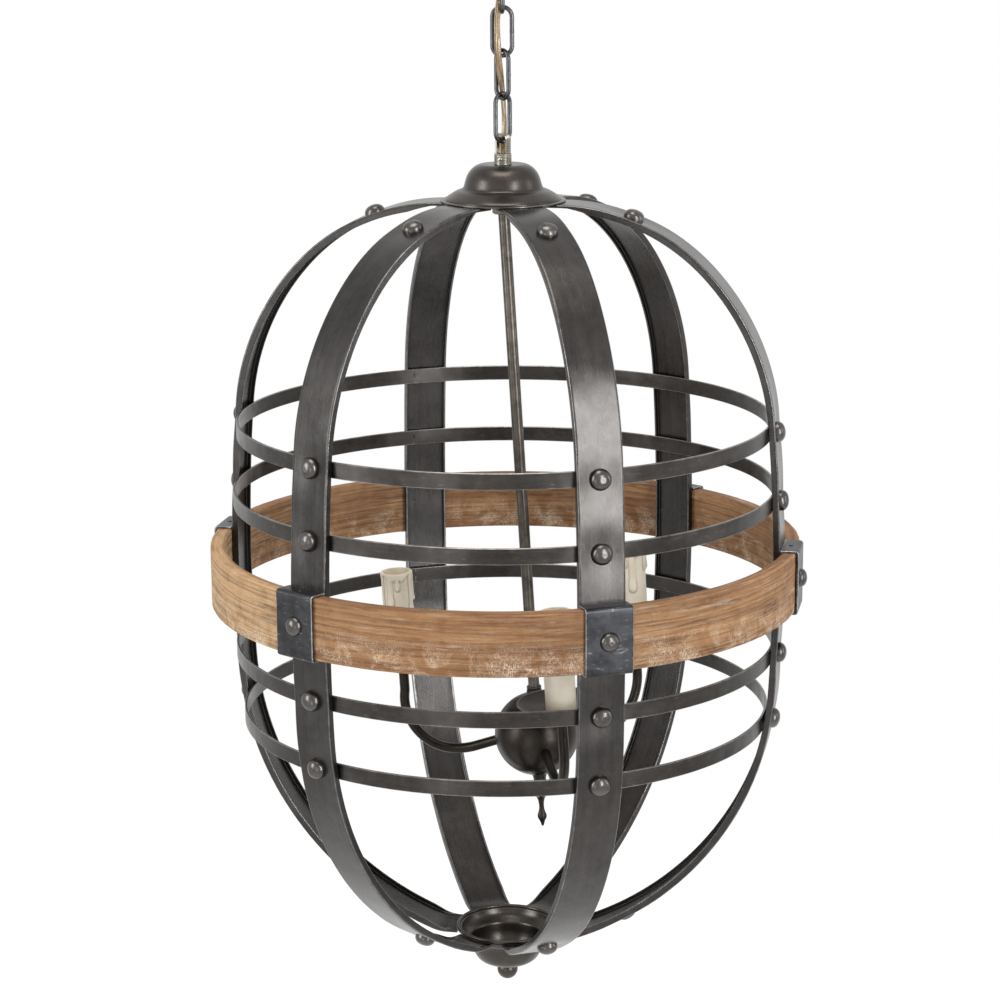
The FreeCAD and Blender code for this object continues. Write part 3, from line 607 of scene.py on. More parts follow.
def joined(name, pieces):
    """The pieces as one object, with the first one's material and slot."""
    bpy.context.view_layer.update()
    points, faces, grain, edge = [], [], [], []
    slot_name = pieces[0]["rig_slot"]
    for piece in pieces:
        first = len(points)
        points += [piece.matrix_world @ v.co for v in piece.data.vertices]
        faces += [tuple(first + i for i in polygon.vertices) for polygon in piece.data.polygons]
        grain += [tuple(d.vector) for d in piece.data.attributes["grain"].data]
        edge += [d.value for d in piece.data.attributes["edge"].data]
    whole = new_piece(name, points, faces, grain, slot_name, edge=edge)
    for piece in pieces:
        mesh = piece.data
        bpy.data.objects.remove(piece)
        if not mesh.users:
            bpy.data.meshes.remove(mesh)
    return whole


def repeated(first, name, places):
    """Gives the piece at the first place, then a copy of it at each of the others, with names numbered on."""
    for k, place in enumerate(places):
        piece = first
        if k > 0:
            piece = new_object(name % (k + 1), first.data)
            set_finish(piece, first["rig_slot"])
        piece.matrix_world = place
        yield piece


def stand_in(piece, node, body="lantern"):
    """The piece takes the place of a CAD node, and moves with a body."""
    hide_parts(node)
    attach(piece, body)


ring_place = Matrix.Translation((0, 0, ring_level))
band_places = [ring_place @ turned(360 / band_count * k) for k in range(band_count)]


# Cord: the flat twin cord that winds down through the chain

cord_route = in_mm(
    (0, 0, -20.0), (0, 0, -36.0), (5.4, -2.7, -44.5), (3.4, -3.6, -55.0), (-3.5, -4.4, -83.0),
    (-2.7, -5.8, -117.8), (-0.7, 6.4, -152.6), (0, 8.4, -180.5), (-1.3, 4.5, -191.0), (0, 0, -199.5),
    (0, 0, -214.0),
)
cord_cuts = (3, 4, 5, 6)
cord_core_radius = 0.00150
cord_core_offset = 0.00135
link_count = 4
link_turn_deg = (-75.0, 10.0, -40.0, 55.0)
wire_radius = 0.00185
link_bend_radius = 0.0079
link_length = 0.0425
weld_swell_share = 0.07
weld_half = 1.1 * mm
blend_reach = 0.007

link_boxes = [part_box("chain_link_%d" % (k + 1)) for k in range(link_count)]
link_levels = [(low.z + high.z) / 2 for low, high in link_boxes]
pivot_levels = [joint["pos_m"][2] for joint in frame["joints"] if joint["name"].startswith("swing")]


def link_path(k, steps=40):
    """Points on the middle line of a link's wire, round it from one side."""
    straight = link_length / 2 - wire_radius - link_bend_radius
    side = [straight * (1 - 4 * n / steps) for n in range(1, steps // 2)]
    flat = [(x, straight + z) for x, z in arc_points(0, 0, link_bend_radius, 0, 180, steps)]
    flat += [(-link_bend_radius, z) for z in side]
    flat += [(x, z - straight) for x, z in arc_points(0, 0, link_bend_radius, 180, 360, steps)]
    flat += [(link_bend_radius, -z) for z in side]
    return [turned(link_turn_deg[k]) @ Vector((x, 0, link_levels[k] + z)) for x, z in flat]


def cord_line():
    """Points read from the NURBS spline whose control points are the route."""
    data = bpy.data.curves.new("cord_route", "CURVE")
    data.dimensions = "3D"
    data.resolution_u = 24
    spline = data.splines.new("NURBS")
    spline.points.add(len(cord_route) - 1)
    for point, place in zip(spline.points, cord_route):
        point.co = (*place, 1.0)
    spline.order_u = 3
    spline.use_endpoint_u = True
    curve = new_object("cord_route", data)
    bpy.context.view_layer.update()
    mesh = bpy.data.meshes.new_from_object(curve)
    line = [v.co.copy() for v in mesh.vertices]
    bpy.data.meshes.remove(mesh)
    bpy.data.objects.remove(curve)
    bpy.data.curves.remove(data)
    return line


def direction(line, k):
    return (line[min(k + 1, len(line) - 1)] - line[max(k - 1, 0)]).normalized()


def wide_directions(line):
    """At each point of the line, the direction across it that keeps a flat cord clear of the wires."""
    wires = np.array([tuple(p) for k in range(link_count) for p in link_path(k)])
    directions = []
    for k, at in enumerate(line):
        along = direction(line, k)
        first = along.orthogonal().normalized()
        second = along.cross(first)
        offsets = wires - np.array(at)
        weights = 1 / np.maximum(np.linalg.norm(offsets, axis=1), wire_radius) ** 8
        flat = np.stack([offsets @ np.array(first), offsets @ np.array(second)], 1)
        flat = flat / np.maximum(np.linalg.norm(flat, axis=1), mm)[:, None]
        values, vectors = np.linalg.eigh((flat * weights[:, None]).T @ flat)
        wide = (first * vectors[0, 0] + second * vectors[1, 0]).normalized()
        if directions and wide.dot(directions[-1]) < 0:
            wide = -wide
        directions.append(wide)
    smooth = []
    reach = 14
    for k in range(len(line)):
        along = direction(line, k)
        wide = sum(directions[max(k - reach, 0):k + reach + 1], Vector())
        smooth.append((wide - along * wide.dot(along)).normalized())
    return smooth


def twin_section(at, wide, along):
    """Outline of the flat twin cord: two round cores side by side with a groove between them."""
    flat = along.cross(wide).normalized()
    ring = []
    for side in (1, -1):
        for x, y in arc_points(cord_core_offset, 0, cord_core_radius, -115, 115, 14):
            ring.append(at + wide * (x * side) + flat * (y * side))
    return ring


def make_cords():
    line = cord_line()
    wide = wide_directions(line)
    travelled = distances(line)
    cut_levels = [(cord_route[k][2] + cord_route[k + 1][2]) / 2 for k in cord_cuts]
    parts = [[]]
    for k, at in enumerate(line):
        parts[-1].append(k)
        if len(parts) <= len(cut_levels) and at.z < cut_levels[len(parts) - 1]:
            parts.append([k])
    for n, part in enumerate(parts):
        points, grain = [], []
        for k in part:
            section = twin_section(line[k], wide[k], direction(line, k))
            points += section
            grain += [(travelled[k], 0.25 * mm * m, 0.0) for m in range(len(section))]
        faces = ring_faces(len(part), len(section))
        cord = new_piece("cord_%d" % (n + 1), points, faces, grain, "cord_jacket", 60.0)
        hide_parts("supply_cord_%d" % (n + 1))
        pivot = pivot_levels[n]
        start, end = (0, 0, pivot + blend_reach), (0, 0, pivot - blend_reach)
        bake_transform(cord)
        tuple(start)
        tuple(end)


make_cords()


# Chain links


def make_links():
    for k in range(link_count):
        path = link_path(k)
        normal = turned(link_turn_deg[k]) @ Vector((0, 1, 0))
        rings = []
        for n, at in enumerate(path):
            side = (path[(n + 1) % len(path)] - path[n - 1]).cross(normal).normalized()
            # The butt weld is a low swelling halfway down one side
            from_weld = abs(at.z - link_levels[k]) if (at - Vector((0, 0, at.z))).dot(path[0]) > 0 else 1.0
            radius = wire_radius * (1.0 + weld_swell_share * math.exp(-(from_weld / weld_half) ** 2))
            rings.append(oval(at, side * radius, normal * radius, 16))
        link = swept("link_%d" % (k + 1), rings, "chain_steel", closed=True)
        stand_in(link, "chain_link_%d" % (k + 1), "link_%d" % (k + 1))


make_links()


# Threaded loops

loop_radius = 0.00725
loop_stem_height = 0.0085
loop_reach = 0.0225
loop_bar_radius = 0.0022
loop_bore_radius = 0.0032
loop_ear_thickness = 0.0016
loop_ear_half_deg = 24.0
loop_ear_turns = 9
loop_ear_pitch = 0.0014
loop_screw_turn_deg = -150.0
loop_screw_height = 0.0046
loop_screw = in_mm((0, 1.3), (0.8, 1.25), (1.4, 0.9), (1.6, 0.3), (1.6, -0.8), (0, -0.8))
nipple_radius = 0.0050


def thread(radius, low, high, pitch, depth):
    """Outline points of a thread between two heights, drawn as even rings."""
    points = []
    turns = max(1, round((high - low) / pitch))
    step = (high - low) / turns
    for k in range(turns):
        z = low + k * step
        points += [(radius - depth, z), (radius, z + 0.35 * step), (radius, z + 0.55 * step)]
    points.append((radius - depth, high))
    return points


def make_loop(name, nipple_length, place):
    """A loop on a threaded stem, made standing on z = 0 with its nipple below."""
    top = loop_stem_height
    outline = [(loop_bore_radius, -nipple_length)]
    outline += thread(nipple_radius, -nipple_length, -0.4 * mm, 1.1 * mm, 0.3 * mm)
    outline += [(loop_radius - 0.6 * mm, 0.0), (loop_radius - 0.2 * mm, 0.2 * mm)]
    outline += thread(loop_radius, 0.9 * mm, top - 1.2 * mm, 1.2 * mm, 0.35 * mm)
    outline += [(loop_radius - 0.2 * mm, top - 0.2 * mm), (loop_radius - 0.8 * mm, top)]
    outline.append((loop_bore_radius, top))
    pieces = [lathed(name + "_stem", outline, "loop_metal", 64)]
    levels = [top - 0.3 * mm]
    for k in range(loop_ear_turns):
        levels += [top + 0.2 * mm + k * loop_ear_pitch, top + 0.9 * mm + k * loop_ear_pitch]
    levels.append(loop_reach + 0.2 * mm)
    for side in (0, 1):
        start, end = 90 + 180 * side - loop_ear_half_deg, 90 + 180 * side + loop_ear_half_deg
        inner = arc_points(0, 0, loop_radius - loop_ear_thickness, end, start, 8)
        rings = []
        for n, z in enumerate(levels):
            outer = arc_points(0, 0, loop_radius - (0.3 * mm if n % 2 else 0.0), start, end, 8)
            rings.append([Vector((x, y, z)) for x, y in outer + inner])
        pieces.append(swept(name + "_ear_%d" % side, rings, "loop_metal", levels[0]))
    reach = loop_radius - 0.2 * mm
    half_bar = [(reach, 0.55), (reach - 0.5 * mm, 0.85), (reach - 1.3 * mm, 1.0), (3.0 * mm, 1.0)]
    rings = []
    for y, grown in [(-y, grown) for y, grown in half_bar] + [(0.0, 0.97)] + half_bar[::-1]:
        radius = loop_bar_radius * grown
        rings.append(oval((0, y, loop_reach), (0, 0, radius), (radius, 0, 0), 24))
    pieces.append(swept(name + "_bar", rings, "loop_metal", -reach))
    screw = lathed(name + "_screw", loop_screw, "loop_metal", 24, closed=False)
    out = Matrix.Translation((loop_radius - 0.4 * mm, 0, loop_screw_height))
    screw.matrix_world = turned(loop_screw_turn_deg) @ out @ turned(90, "Y")
    loop = joined(name, pieces + [screw])
    loop.matrix_world = place
    return loop


stand_in(
    make_loop(
        "canopy_threaded_loop", canopy_height,
        Matrix.Translation((0, 0, -canopy_height)) @ turned(link_turn_deg[0]) @ turned(180, "X"),
    ),
    "canopy_loop", "ceiling",
)
stand_in(
    make_loop(
        "lantern_threaded_loop", cap_high.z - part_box("hanging_loop")[0].z,
        Matrix.Translation((0, 0, cap_high.z)) @ turned(link_turn_deg[-1]),
    ),
    "hanging_loop",
)


# Cap, disc, cup, ball and canopy: spun metal

sheet = 0.0012
disc_radius = 0.0515
disc_lower_half = in_mm((5.2, 0), (50.9, 0), (51.4, 0.3))
cap_outline = in_mm(
    (47.5, 0), (47.4, 0.8), (46.3, 2.0), (44.0, 3.7), (41.0, 5.6), (38.3, 7.1), (36.0, 8.0), (34.0, 8.8),
    (32.6, 10.1), (31.8, 12.2), (31.0, 15.2), (29.8, 18.8), (27.9, 22.3), (25.4, 25.2), (22.8, 27.2),
    (20.3, 28.4), (17.5, 29.0), (7.5, 29.0),
)
cup_outline = in_mm(
    (44.0, 0), (42.2, 0), (40.6, -0.4), (39.9, -2.2), (38.8, -4.6), (37.0, -6.8), (35.0, -8.4), (33.2, -9.6),
    (32.1, -11.0), (31.4, -14.0), (30.4, -18.5), (28.7, -22.8), (26.4, -26.5), (23.6, -29.0), (21.6, -29.9),
    (18.0, -30.5), (3.1, -30.5),
)
cup_flange = 0.0032
cup_bore = 0.0031
cup_inside_radius = 0.0420
cup_bead_radius = 0.0016
ball_radius = 0.0090
ball_neck = in_mm((4.4, -0.7), (5.0, -0.4), (5.0, 0), (0, 0))
stud_foot = in_mm((0, 0.5), (3.0, 0.5))
stud_nut = in_mm((3.0, -1.6), (5.4, -1.6), (5.5, -0.6), (4.6, 0), (0, 0))
canopy_outline = in_mm(
    (60.0, 0), (60.0, 3.5), (59.6, 6.0), (57.2, 8.2), (53.0, 10.0), (47.5, 11.6), (43.0, 12.8), (40.5, 15.0),
    (39.0, 18.5), (36.8, 22.5), (34.0, 25.5), (30.0, 27.4), (24.0, 28.0), (7.5, 28.0),
)
canopy_screw_head = in_mm(
    (2.0, 0.1), (4.3, -0.1), (4.5, -0.6), (4.3, -1.4), (3.6, -2.2), (2.6, -2.8), (1.3, -3.0), (0, -3.0),
)
canopy_screw_radius = 0.0020
canopy_screw_reach = 0.025


def walled(outline, wall):
    """Closed outline of a spun wall under an outline that runs from the rim inwards and upwards."""
    inner = []
    count = len(outline)
    for k, (r, z) in enumerate(outline):
        r0, z0 = outline[max(k - 1, 0)]
        r1, z1 = outline[min(k + 1, count - 1)]
        length = math.hypot(r1 - r0, z1 - z0)
        inner.append((r + wall * (z0 - z1) / length, z + wall * (r1 - r0) / length))
    return list(outline) + inner[::-1]


def make_spun():
    """Cap and disc on top of the cage."""
    thick = disc_high.z - disc_low.z
    upper_half = [(r, thick - z) for r, z in disc_lower_half[::-1]]
    outline = disc_lower_half + [(disc_radius, thick / 2)] + upper_half
    stand_in(lathed("cage_disc", outline, "cap_metal", 144, at=(0, 0, disc_low.z)), "top_disc")
    outline = walled(smooth_line(cap_outline, 4), sheet)
    stand_in(lathed("stepped_cap", outline, "cap_metal", 144, at=(0, 0, cap_low.z)), "top_cap")


def make_cup():
    """The cup under the cage, its rolled bead, its dome and the ball."""
    low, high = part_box("bottom_cup")
    seat = (0, 0, high.z - cup_flange)
    outline = smooth_line(cup_outline, 4)
    inside = [(max(r - sheet * 0.85, cup_bore), z + sheet) for r, z in outline[::-1]]
    outline += [p for p in inside if p[0] < cup_inside_radius]
    cup = lathed("cage_cup", outline, "cap_metal", 144, at=seat)
    bead = cup_bead_radius
    rim_outline = arc_points(cup_outline[0][0] - bead, bead, bead, 0, 348, 24)
    rim = lathed("cage_cup_rim", rim_outline, "cap_metal", 144, at=seat)
    stand_in(joined("bottom_cup_spun", [cup, rim]), "bottom_cup")
    ball_low, ball_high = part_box("bottom_ball")
    centre = ball_low.z + ball_radius
    top = low.z - centre
    outline = [(0.0, -ball_radius)] + arc_points(0.0, 0.0, ball_radius, -84, 62, 26)
    outline += raised(ball_neck, top)
    ball = lathed("cage_ball", outline, "cap_metal", 64, closed=False, at=(0, 0, centre))
    outline = raised(stud_foot, top) + raised(stud_nut, ball_high.z - centre)
    head = lathed("cage_ball_nut", outline, "cap_metal", 32, closed=False, at=(0, 0, centre))
    stand_in(joined("bottom_ball_turned", [ball, head]), "bottom_ball")


def make_canopy():
    points = walled(smooth_line(canopy_outline, 4), sheet)
    canopy = lathed("canopy_dome", [(r, -z) for r, z in points], "canopy_metal", 144)
    stand_in(canopy, "ceiling_canopy", "ceiling")
    outline = [(0.0, 0.0), (canopy_screw_radius, 0.0)] + raised(canopy_screw_head, -canopy_height)
    screws = []
    for side in (-1, 1):
        at = (0, side * canopy_screw_reach, 0)
        name = "canopy_screw_%d" % (side + 1)
        screws.append(lathed(name, outline, "plated_steel", 32, closed=False, at=at))
    stand_in(joined("canopy_screws_turned", screws), "canopy_screws", "ceiling")


make_spun()
make_cup()
make_canopy()


# Cage: the meridian of a band

band_half = 0.0190
band_thickness = 0.0025
lip_depth = 0.0060
lip_thickness = 0.0018
cage_radius = 0.2340
top_side_arc = (1.434, 5.25)
top_shoulder_arc = (0.207, 43.6)
bottom_side_arc = (1.790, 3.0)
bottom_shoulder_arc = (0.263, 69.0)
pole_flat_radius = 0.050
top_tab_end = 0.036
bottom_tab_end = 0.0407
top_lip_stop = 0.056
bottom_lip_stop = 0.0475
lip_fade = 0.022


def half_meridian(side_arc, shoulder_arc, tab_end):
    """Stations (radius, height, normal angle) on the outer face, from the middle to the tab's end."""
    side_radius, side_deg = side_arc
    shoulder_radius, shoulder_deg = shoulder_arc
    side_r = cage_radius - side_radius
    shoulder_r = side_r + (side_radius - shoulder_radius) * math.cos(math.radians(side_deg))
    shoulder_z = (side_radius - shoulder_radius) * math.sin(math.radians(side_deg))
    end = math.radians(shoulder_deg)
    crown_radius = (shoulder_r + shoulder_radius * math.cos(end) - pole_flat_radius) / math.cos(end)
    crown_z = shoulder_z + (shoulder_radius - crown_radius) * math.sin(end)
    pole = crown_z + crown_radius
    return (
        arc_stations(side_r, 0.0, side_radius, 0.0, side_deg, 26)[:-1]
        + arc_stations(shoulder_r, shoulder_z, shoulder_radius, side_deg, shoulder_deg, 34)[:-1]
        + arc_stations(pole_flat_radius, crown_z, crown_radius, shoulder_deg, 90.0, 20)[:-1]
        + straight_stations((pole_flat_radius, pole), (tab_end, pole), 3, math.pi / 2)
    )


top_half = half_meridian(top_side_arc, top_shoulder_arc, top_tab_end)
bottom_half = half_meridian(bottom_side_arc, bottom_shoulder_arc, bottom_tab_end)
meridian = [(r, -z, -a) for r, z, a in bottom_half[:0:-1]] + top_half


# Where the rivets sit on the bands: (distance from the axis, level, slope)

hoop_levels = {
    "upper_hoop_1": 0.1225, "upper_hoop_2": 0.065, "lower_hoop_1": -0.065, "lower_hoop_2": -0.1225,
}
pole_rivet_top = 0.1085
pole_rivet_bottom = 0.1050


def on_meridian(level):
    """The spot of the bands' outer face at a level."""
    for (r1, z1, a1), (r2, z2, a2) in zip(meridian, meridian[1:]):
        if z1 <= level <= z2:
            t = (level - z1) / (z2 - z1)
            return r1 + (r2 - r1) * t, level, a1 + (a2 - a1) * t


def pole_spot(distance, stations):
    """The spot on a half of the meridian at a distance from the axis."""
    for (r1, z1, a1), (r2, z2, a2) in zip(stations, stations[1:]):
        if r2 <= distance <= r1:
            t = (r1 - distance) / (r1 - r2)
            return distance, z1 + (z2 - z1) * t, a1 + (a2 - a1) * t


hoop_spots = [on_meridian(level) for level in hoop_levels.values()]
lower_distance, lower_height, lower_slope = pole_spot(pole_rivet_bottom, bottom_half)
pole_spots = [pole_spot(pole_rivet_top, top_half), (lower_distance, -lower_height, -lower_slope)]


# Bands

band_corner = 0.0015
wear_reach = 0.0007
dent_depth = 0.0016
dent_reach = 0.0130
# Small punched marks inside the bands at the belt, by band: (across, level)
band_marks = {1: in_mm((14.0, 1.3), (2.0, 2.0), (-8.0, 0.2)), 2: in_mm((10.3, 5.8))}
mark_outline = (
    in_mm((0, 0.05), (1.1, 0.05)) + arc_points(1.5 * mm, 0.0, 0.4 * mm, 170, 0, 12)
    + in_mm((1.9, -0.5), (0, -0.5))
)


def dent(r, y, z):
    """How far the outer face is driven in near the rivets."""
    depth = 0.0
    for spot_r, spot_z, slope in hoop_spots + pole_spots:
        apart = (r - spot_r) ** 2 + y ** 2 + (z - spot_z) ** 2
        depth += dent_depth * math.exp(-apart / (2 * dent_reach ** 2))
    return depth


def band_section(depth):
    """The channel's outline as (across, inward, edge wear) points for a lip that reaches to a depth."""
    corner = band_corner
    thick = band_thickness
    inner = band_half - lip_thickness
    end = max(depth, thick)
    is_lip = end > thick + 0.5 * mm
    half = [(band_half * k / 6, 0.0, 0.0) for k in range(1, 6)]
    half.append((band_half - corner - wear_reach, 0.0, 0.0))
    for k, (y, n) in enumerate(arc_points(band_half - corner, corner, corner, -90, 0, 4)):
        half.append((y, n, math.sin(math.pi * k / 4)))
    half += [
        (band_half, min(corner + wear_reach, end - 0.5 * mm), 0.0), (band_half, end - 0.5 * mm, 0.5),
        (band_half - 0.45 * mm, end, 1.0), (inner + 0.4 * mm, end, 1.0),
        (inner, end - 0.4 * mm if is_lip else end, 0.5), (inner, min(thick + 0.6 * mm, end), 0.0),
        (inner - 0.6 * mm, thick, 0.0), (2 * band_half / 3, thick, 0.0), (band_half / 3, thick, 0.0),
    ]
    left = [(-y, n, wear) for y, n, wear in half]
    return [(0.0, 0.0, 0.0)] + half + [(0.0, thick, 0.0)] + left[::-1]


def make_marks(place, spots):
    marks = []
    for across, level in spots:
        mark = lathed("punched_mark", mark_outline, "band_steel", 24, closed=False)
        at = Matrix.Translation((cage_radius - band_thickness, across, level))
        mark.matrix_world = place @ at @ turned(-90, "Y")
        marks.append(mark)
    return marks


def make_bands():
    points, grain, edge = [], [], []
    runs = distances([(r, z) for r, z, a in meridian])
    for (r, z, a), run in zip(meridian, runs):
        lip_stop = top_lip_stop if z > 0 else bottom_lip_stop
        share = min(max((r - lip_stop) / lip_fade, 0.0), 1.0)
        section = band_section(band_thickness + (lip_depth - band_thickness) * share)
        for y, n, wear in section:
            inward = n + dent(r, y, z) * max(0.0, 1 - n / band_thickness)
            points.append((r - inward * math.cos(a), y, z - inward * math.sin(a)))
            grain.append((run * streak_share, y, n))
            edge.append(wear)
    faces = ring_faces(len(meridian), len(section))
    first = new_piece("cage_band_1", points, faces, grain, "band_steel", edge=edge)
    for k, band in enumerate(repeated(first, "cage_band_%d", band_places)):
        if k in band_marks:
            marks = make_marks(band_places[k], band_marks[k])
            band = joined("cage_band_%d_marked" % (k + 1), [band] + marks)
        stand_in(band, "band_%d" % (k + 1))


make_bands()


# Hoops

hoop_half = 0.0065
hoop_thickness = 0.0022
hoop_soft = 0.0004
hoop_play = 0.00008
seam_turn_deg = 123.0
seam_half = 0.0012
seam_rise = 0.0003


def make_hoops():
    soft = hoop_soft
    flat_end = hoop_half - soft - wear_reach
    levels = (soft - hoop_half, -flat_end, 0.0, flat_end, hoop_half - soft)
    for name, level in hoop_levels.items():
        outermost = math.copysign(abs(level) + hoop_half, level)
        flat = on_meridian(outermost)[0] - lip_depth - hoop_play
        outer = math.hypot(flat, band_half - lip_thickness / 2)
        inner = outer - hoop_thickness
        outline = [(inner + soft, -hoop_half), (outer - soft, -hoop_half)] + [(outer, z) for z in levels]
        outline += [(outer - soft, hoop_half), (inner + soft, hoop_half)] + [(inner, z) for z in levels[::-1]]
        hoop = lathed(name + "_ring", outline, "hoop_steel", 240, at=(0, 0, ring_level + level))
        # The butt weld of the hoop
        thick = hoop_thickness / 2 + seam_rise
        rings = []
        for k in range(9):
            at = (outer - hoop_thickness / 2, 0, (k / 4 - 1) * hoop_half * 0.985)
            wide = seam_half * (1.0 + 0.25 * math.sin(5.3 * k))
            rings.append(oval(at, (thick, 0, 0), (0, wide, 0), 12))
        weld = swept(name + "_weld", rings, "hoop_steel", -hoop_half)
        weld.matrix_world = Matrix.Translation((0, 0, ring_level + level)) @ turned(seam_turn_deg)
        stand_in(joined(name + "_rolled", [hoop, weld]), name)


make_hoops()


# Wooden ring

wood_half = 0.025
wood_outer = 0.24705
wood_inner = 0.23490
wood_round = 0.0016
wood_gap_deg = 0.06
wood_arc_length = 0.2618
wood_steps = 48
# How light each board is, from the one that begins at azimuth 0: partly each board's own tone, partly painted
# light, so the board that faces the left lamp is lightest
board_tone_and_light_shares = (0.20, 0.05, 0.20, 1.0, 0.08, 0.15)


def wood_section():
    """Outline of a board: rounded corners, and further points along its flat sides."""
    outer, inner, top = wood_outer - wood_round, wood_inner + wood_round, wood_half - wood_round
    corners = []
    for r, z, start in ((outer, top, 0), (inner, top, 90), (inner, -top, 180), (outer, -top, 270)):
        corners += arc_points(r, z, wood_round, start, start + 90, 4)
    section = []
    for (r, z), (r2, z2) in zip(corners, corners[1:] + corners[:1]):
        section.append((r, z))
        if abs(z2 - z) > wood_half:
            section += [(r, z + (z2 - z) * n / 8) for n in range(1, 8)]
        elif abs(r2 - r) > 5 * mm:
            section += [(r + (r2 - r) * n / 3, z) for n in range(1, 3)]
    return section


def make_wood():
    section = wood_section()
    whole_deg = 360 / band_count
    for s in range(band_count):
        points, grain = [], []
        for k in range(wood_steps + 1):
            share = k / wood_steps
            a = math.radians(whole_deg * s + wood_gap_deg / 2 + (whole_deg - wood_gap_deg) * share)
            for r, z in section:
                # The outer face is a little uneven, as sawn
                long_wave = 0.22 * mm * math.sin(31 * share + 190 * z + 2.1 * s)
                uneven = long_wave + 0.16 * mm * math.sin(77 * share - 140 * z + s)
                out = r - abs(uneven) if r > wood_inner + 10 * mm else r
                points.append((out * math.cos(a), out * math.sin(a), ring_level + z))
                grain.append((wood_arc_length * share * streak_share + s, z, r))
        faces = ring_faces(wood_steps + 1, len(section))
        piece = new_piece("ring_piece_%d" % (s + 1), points, faces, grain, "ring_wood")
        write_layer(piece.data, "board", [board_tone_and_light_shares[s]] * len(points))
        stand_in(piece, "wood_segment_%d" % (s + 1))


make_wood()


# Clamps over the wooden ring

clamp_half = 0.0195
clamp_face = 0.24810
clamp_level = 0.02605
clamp_back = 0.23405
clamp_lip_end = 0.2421
clamp_thickness = 0.0020
clamp_bend = 0.0018
clamp_soft = 0.0006
nail_reach = 0.2410
nail_outline = in_mm((0, 0.7), (1.0, 0.62), (1.7, 0.3), (1.9, 0), (1.9, -0.8), (0, -0.8))


def clamp_path():
    """Middle line of the bent plate as (radius, height, normal angle) stations, from flange to lip."""
    corner = clamp_face - clamp_bend
    height = clamp_level - clamp_bend
    return (
        straight_stations((clamp_back, clamp_level), (corner, clamp_level), 4, math.pi / 2)
        + arc_stations(corner, height, clamp_bend, 90, 0, 6)[1:-1]
        + straight_stations((clamp_face, height), (clamp_face, -height), 12, 0.0)
        + arc_stations(corner, -height, clamp_bend, 0, -90, 6)[1:-1]
        + straight_stations((corner, -clamp_level), (clamp_lip_end, -clamp_level), 2, -math.pi / 2)
    )


def clamp_section():
    """The plate's outline as (across, outward, edge wear) points."""
    thick = clamp_thickness / 2
    soft = clamp_soft
    section = []
    for side, face, start in ((1, 1, 0), (-1, 1, 90), (-1, -1, 180), (1, -1, 270)):
        arc = arc_points(side * (clamp_half - soft), face * (thick - soft), soft, start, start + 90, 3)
        corner = [(y, n, wear) for (y, n), wear in zip(arc, (0.6, 1.0, 1.0, 0.6))]
        flat_point = (side * (clamp_half - soft - wear_reach), face * thick, 0.0)
        section += corner + [flat_point] if side * face > 0 else [flat_point] + corner
    return section


def make_clamps():
    section = clamp_section()
    path = clamp_path()
    points, grain, edge = [], [], []
    for (r, z, a), run in zip(path, distances([(r, z) for r, z, a in path])):
        bent = 0.45 * abs(math.sin(2 * a)) if 0 < abs(a) < math.pi / 2 else 0.0
        if (r, z, a) in (path[0], path[-1]):
            bent = 0.9
        for y, n, wear in section:
            points.append((r + n * math.cos(a), y, z + n * math.sin(a)))
            grain.append((run, y * streak_share, n))
            edge.append(max(wear, bent if n > -clamp_thickness / 4 else 0.0))
    faces = ring_faces(len(path), len(section))
    plate = new_piece("clamp_plate", points, faces, grain, "clamp_steel", edge=edge)
    nail = lathed("clamp_nail", nail_outline, "clamp_steel", 20, closed=False)
    nail.matrix_world = Matrix.Translation((nail_reach, 0, clamp_level + clamp_thickness / 2))
    first = joined("clamp_1", [plate, nail])
    for k, clamp in enumerate(repeated(first, "clamp_%d", band_places)):
        stand_in(clamp, "ring_clamp_%d" % (k + 1))


make_clamps()


# Rivets

rivet_radius = 0.0085
rivet_height = 0.0060
rivet_sides = 28
clamp_rivet_radius = 0.0078
clamp_rivet_height = 0.0056
clamp_outer = 0.2491


def rivet_points(radius, height, place, seed):
    """Points, faces and grain of one hammered head whose base is the plane z = 0 of its place."""
    outline = [(radius, -1.9 * mm), (radius, 0.2 * mm)]
    for k in range(1, 8):
        a = math.pi / 2 * k / 8
        outline.append((radius * math.cos(a) ** 0.92 * 0.985, 0.5 * mm + (height - 0.5 * mm) * math.sin(a)))
    outline += [(radius * 0.10, height - 0.3 * mm), (0.0, height - 0.5 * mm)]
    corners, faces = turned_shape(outline, rivet_sides, closed=False)
    points, grain = [], []
    for r, a, z, run in corners:
        # Hammer marks flatten the dome a little here and there
        mark = 0.30 * mm * math.sin(2 * a + 2.3 * seed) + 0.22 * mm * math.sin(3 * a - 1.7 * seed)
        low = z + mark * (r / radius) ** 2 - 0.3 * mm if r > 0 and z > mm else z
        points.append(place @ Vector((r * math.cos(a), r * math.sin(a), low)))
        grain.append(tuple(place @ Vector((r * math.cos(a), r * math.sin(a), z))))
    faces.append(tuple(range(rivet_sides))[::-1])
    return points, faces, grain


def make_rivets(name, node, spots, radius, height):
    """Heads at the spots of every band, whose axes point out of the band as it slopes there."""
    points, faces, grain = [], [], []
    for k in range(band_count):
        for n, (distance, level, slope) in enumerate(spots):
            tilt = Matrix.Rotation(math.pi / 2 - slope, 4, "Y")
            place = band_places[k] @ Matrix.Translation((distance, 0, level)) @ tilt
            p, f, g = rivet_points(radius, height, place, k * 7 + n)
            first = len(points)
            points += p
            faces += [tuple(first + i for i in face) for face in f]
            grain += g
    stand_in(new_piece(name, points, faces, grain, "rivet_steel"), node)


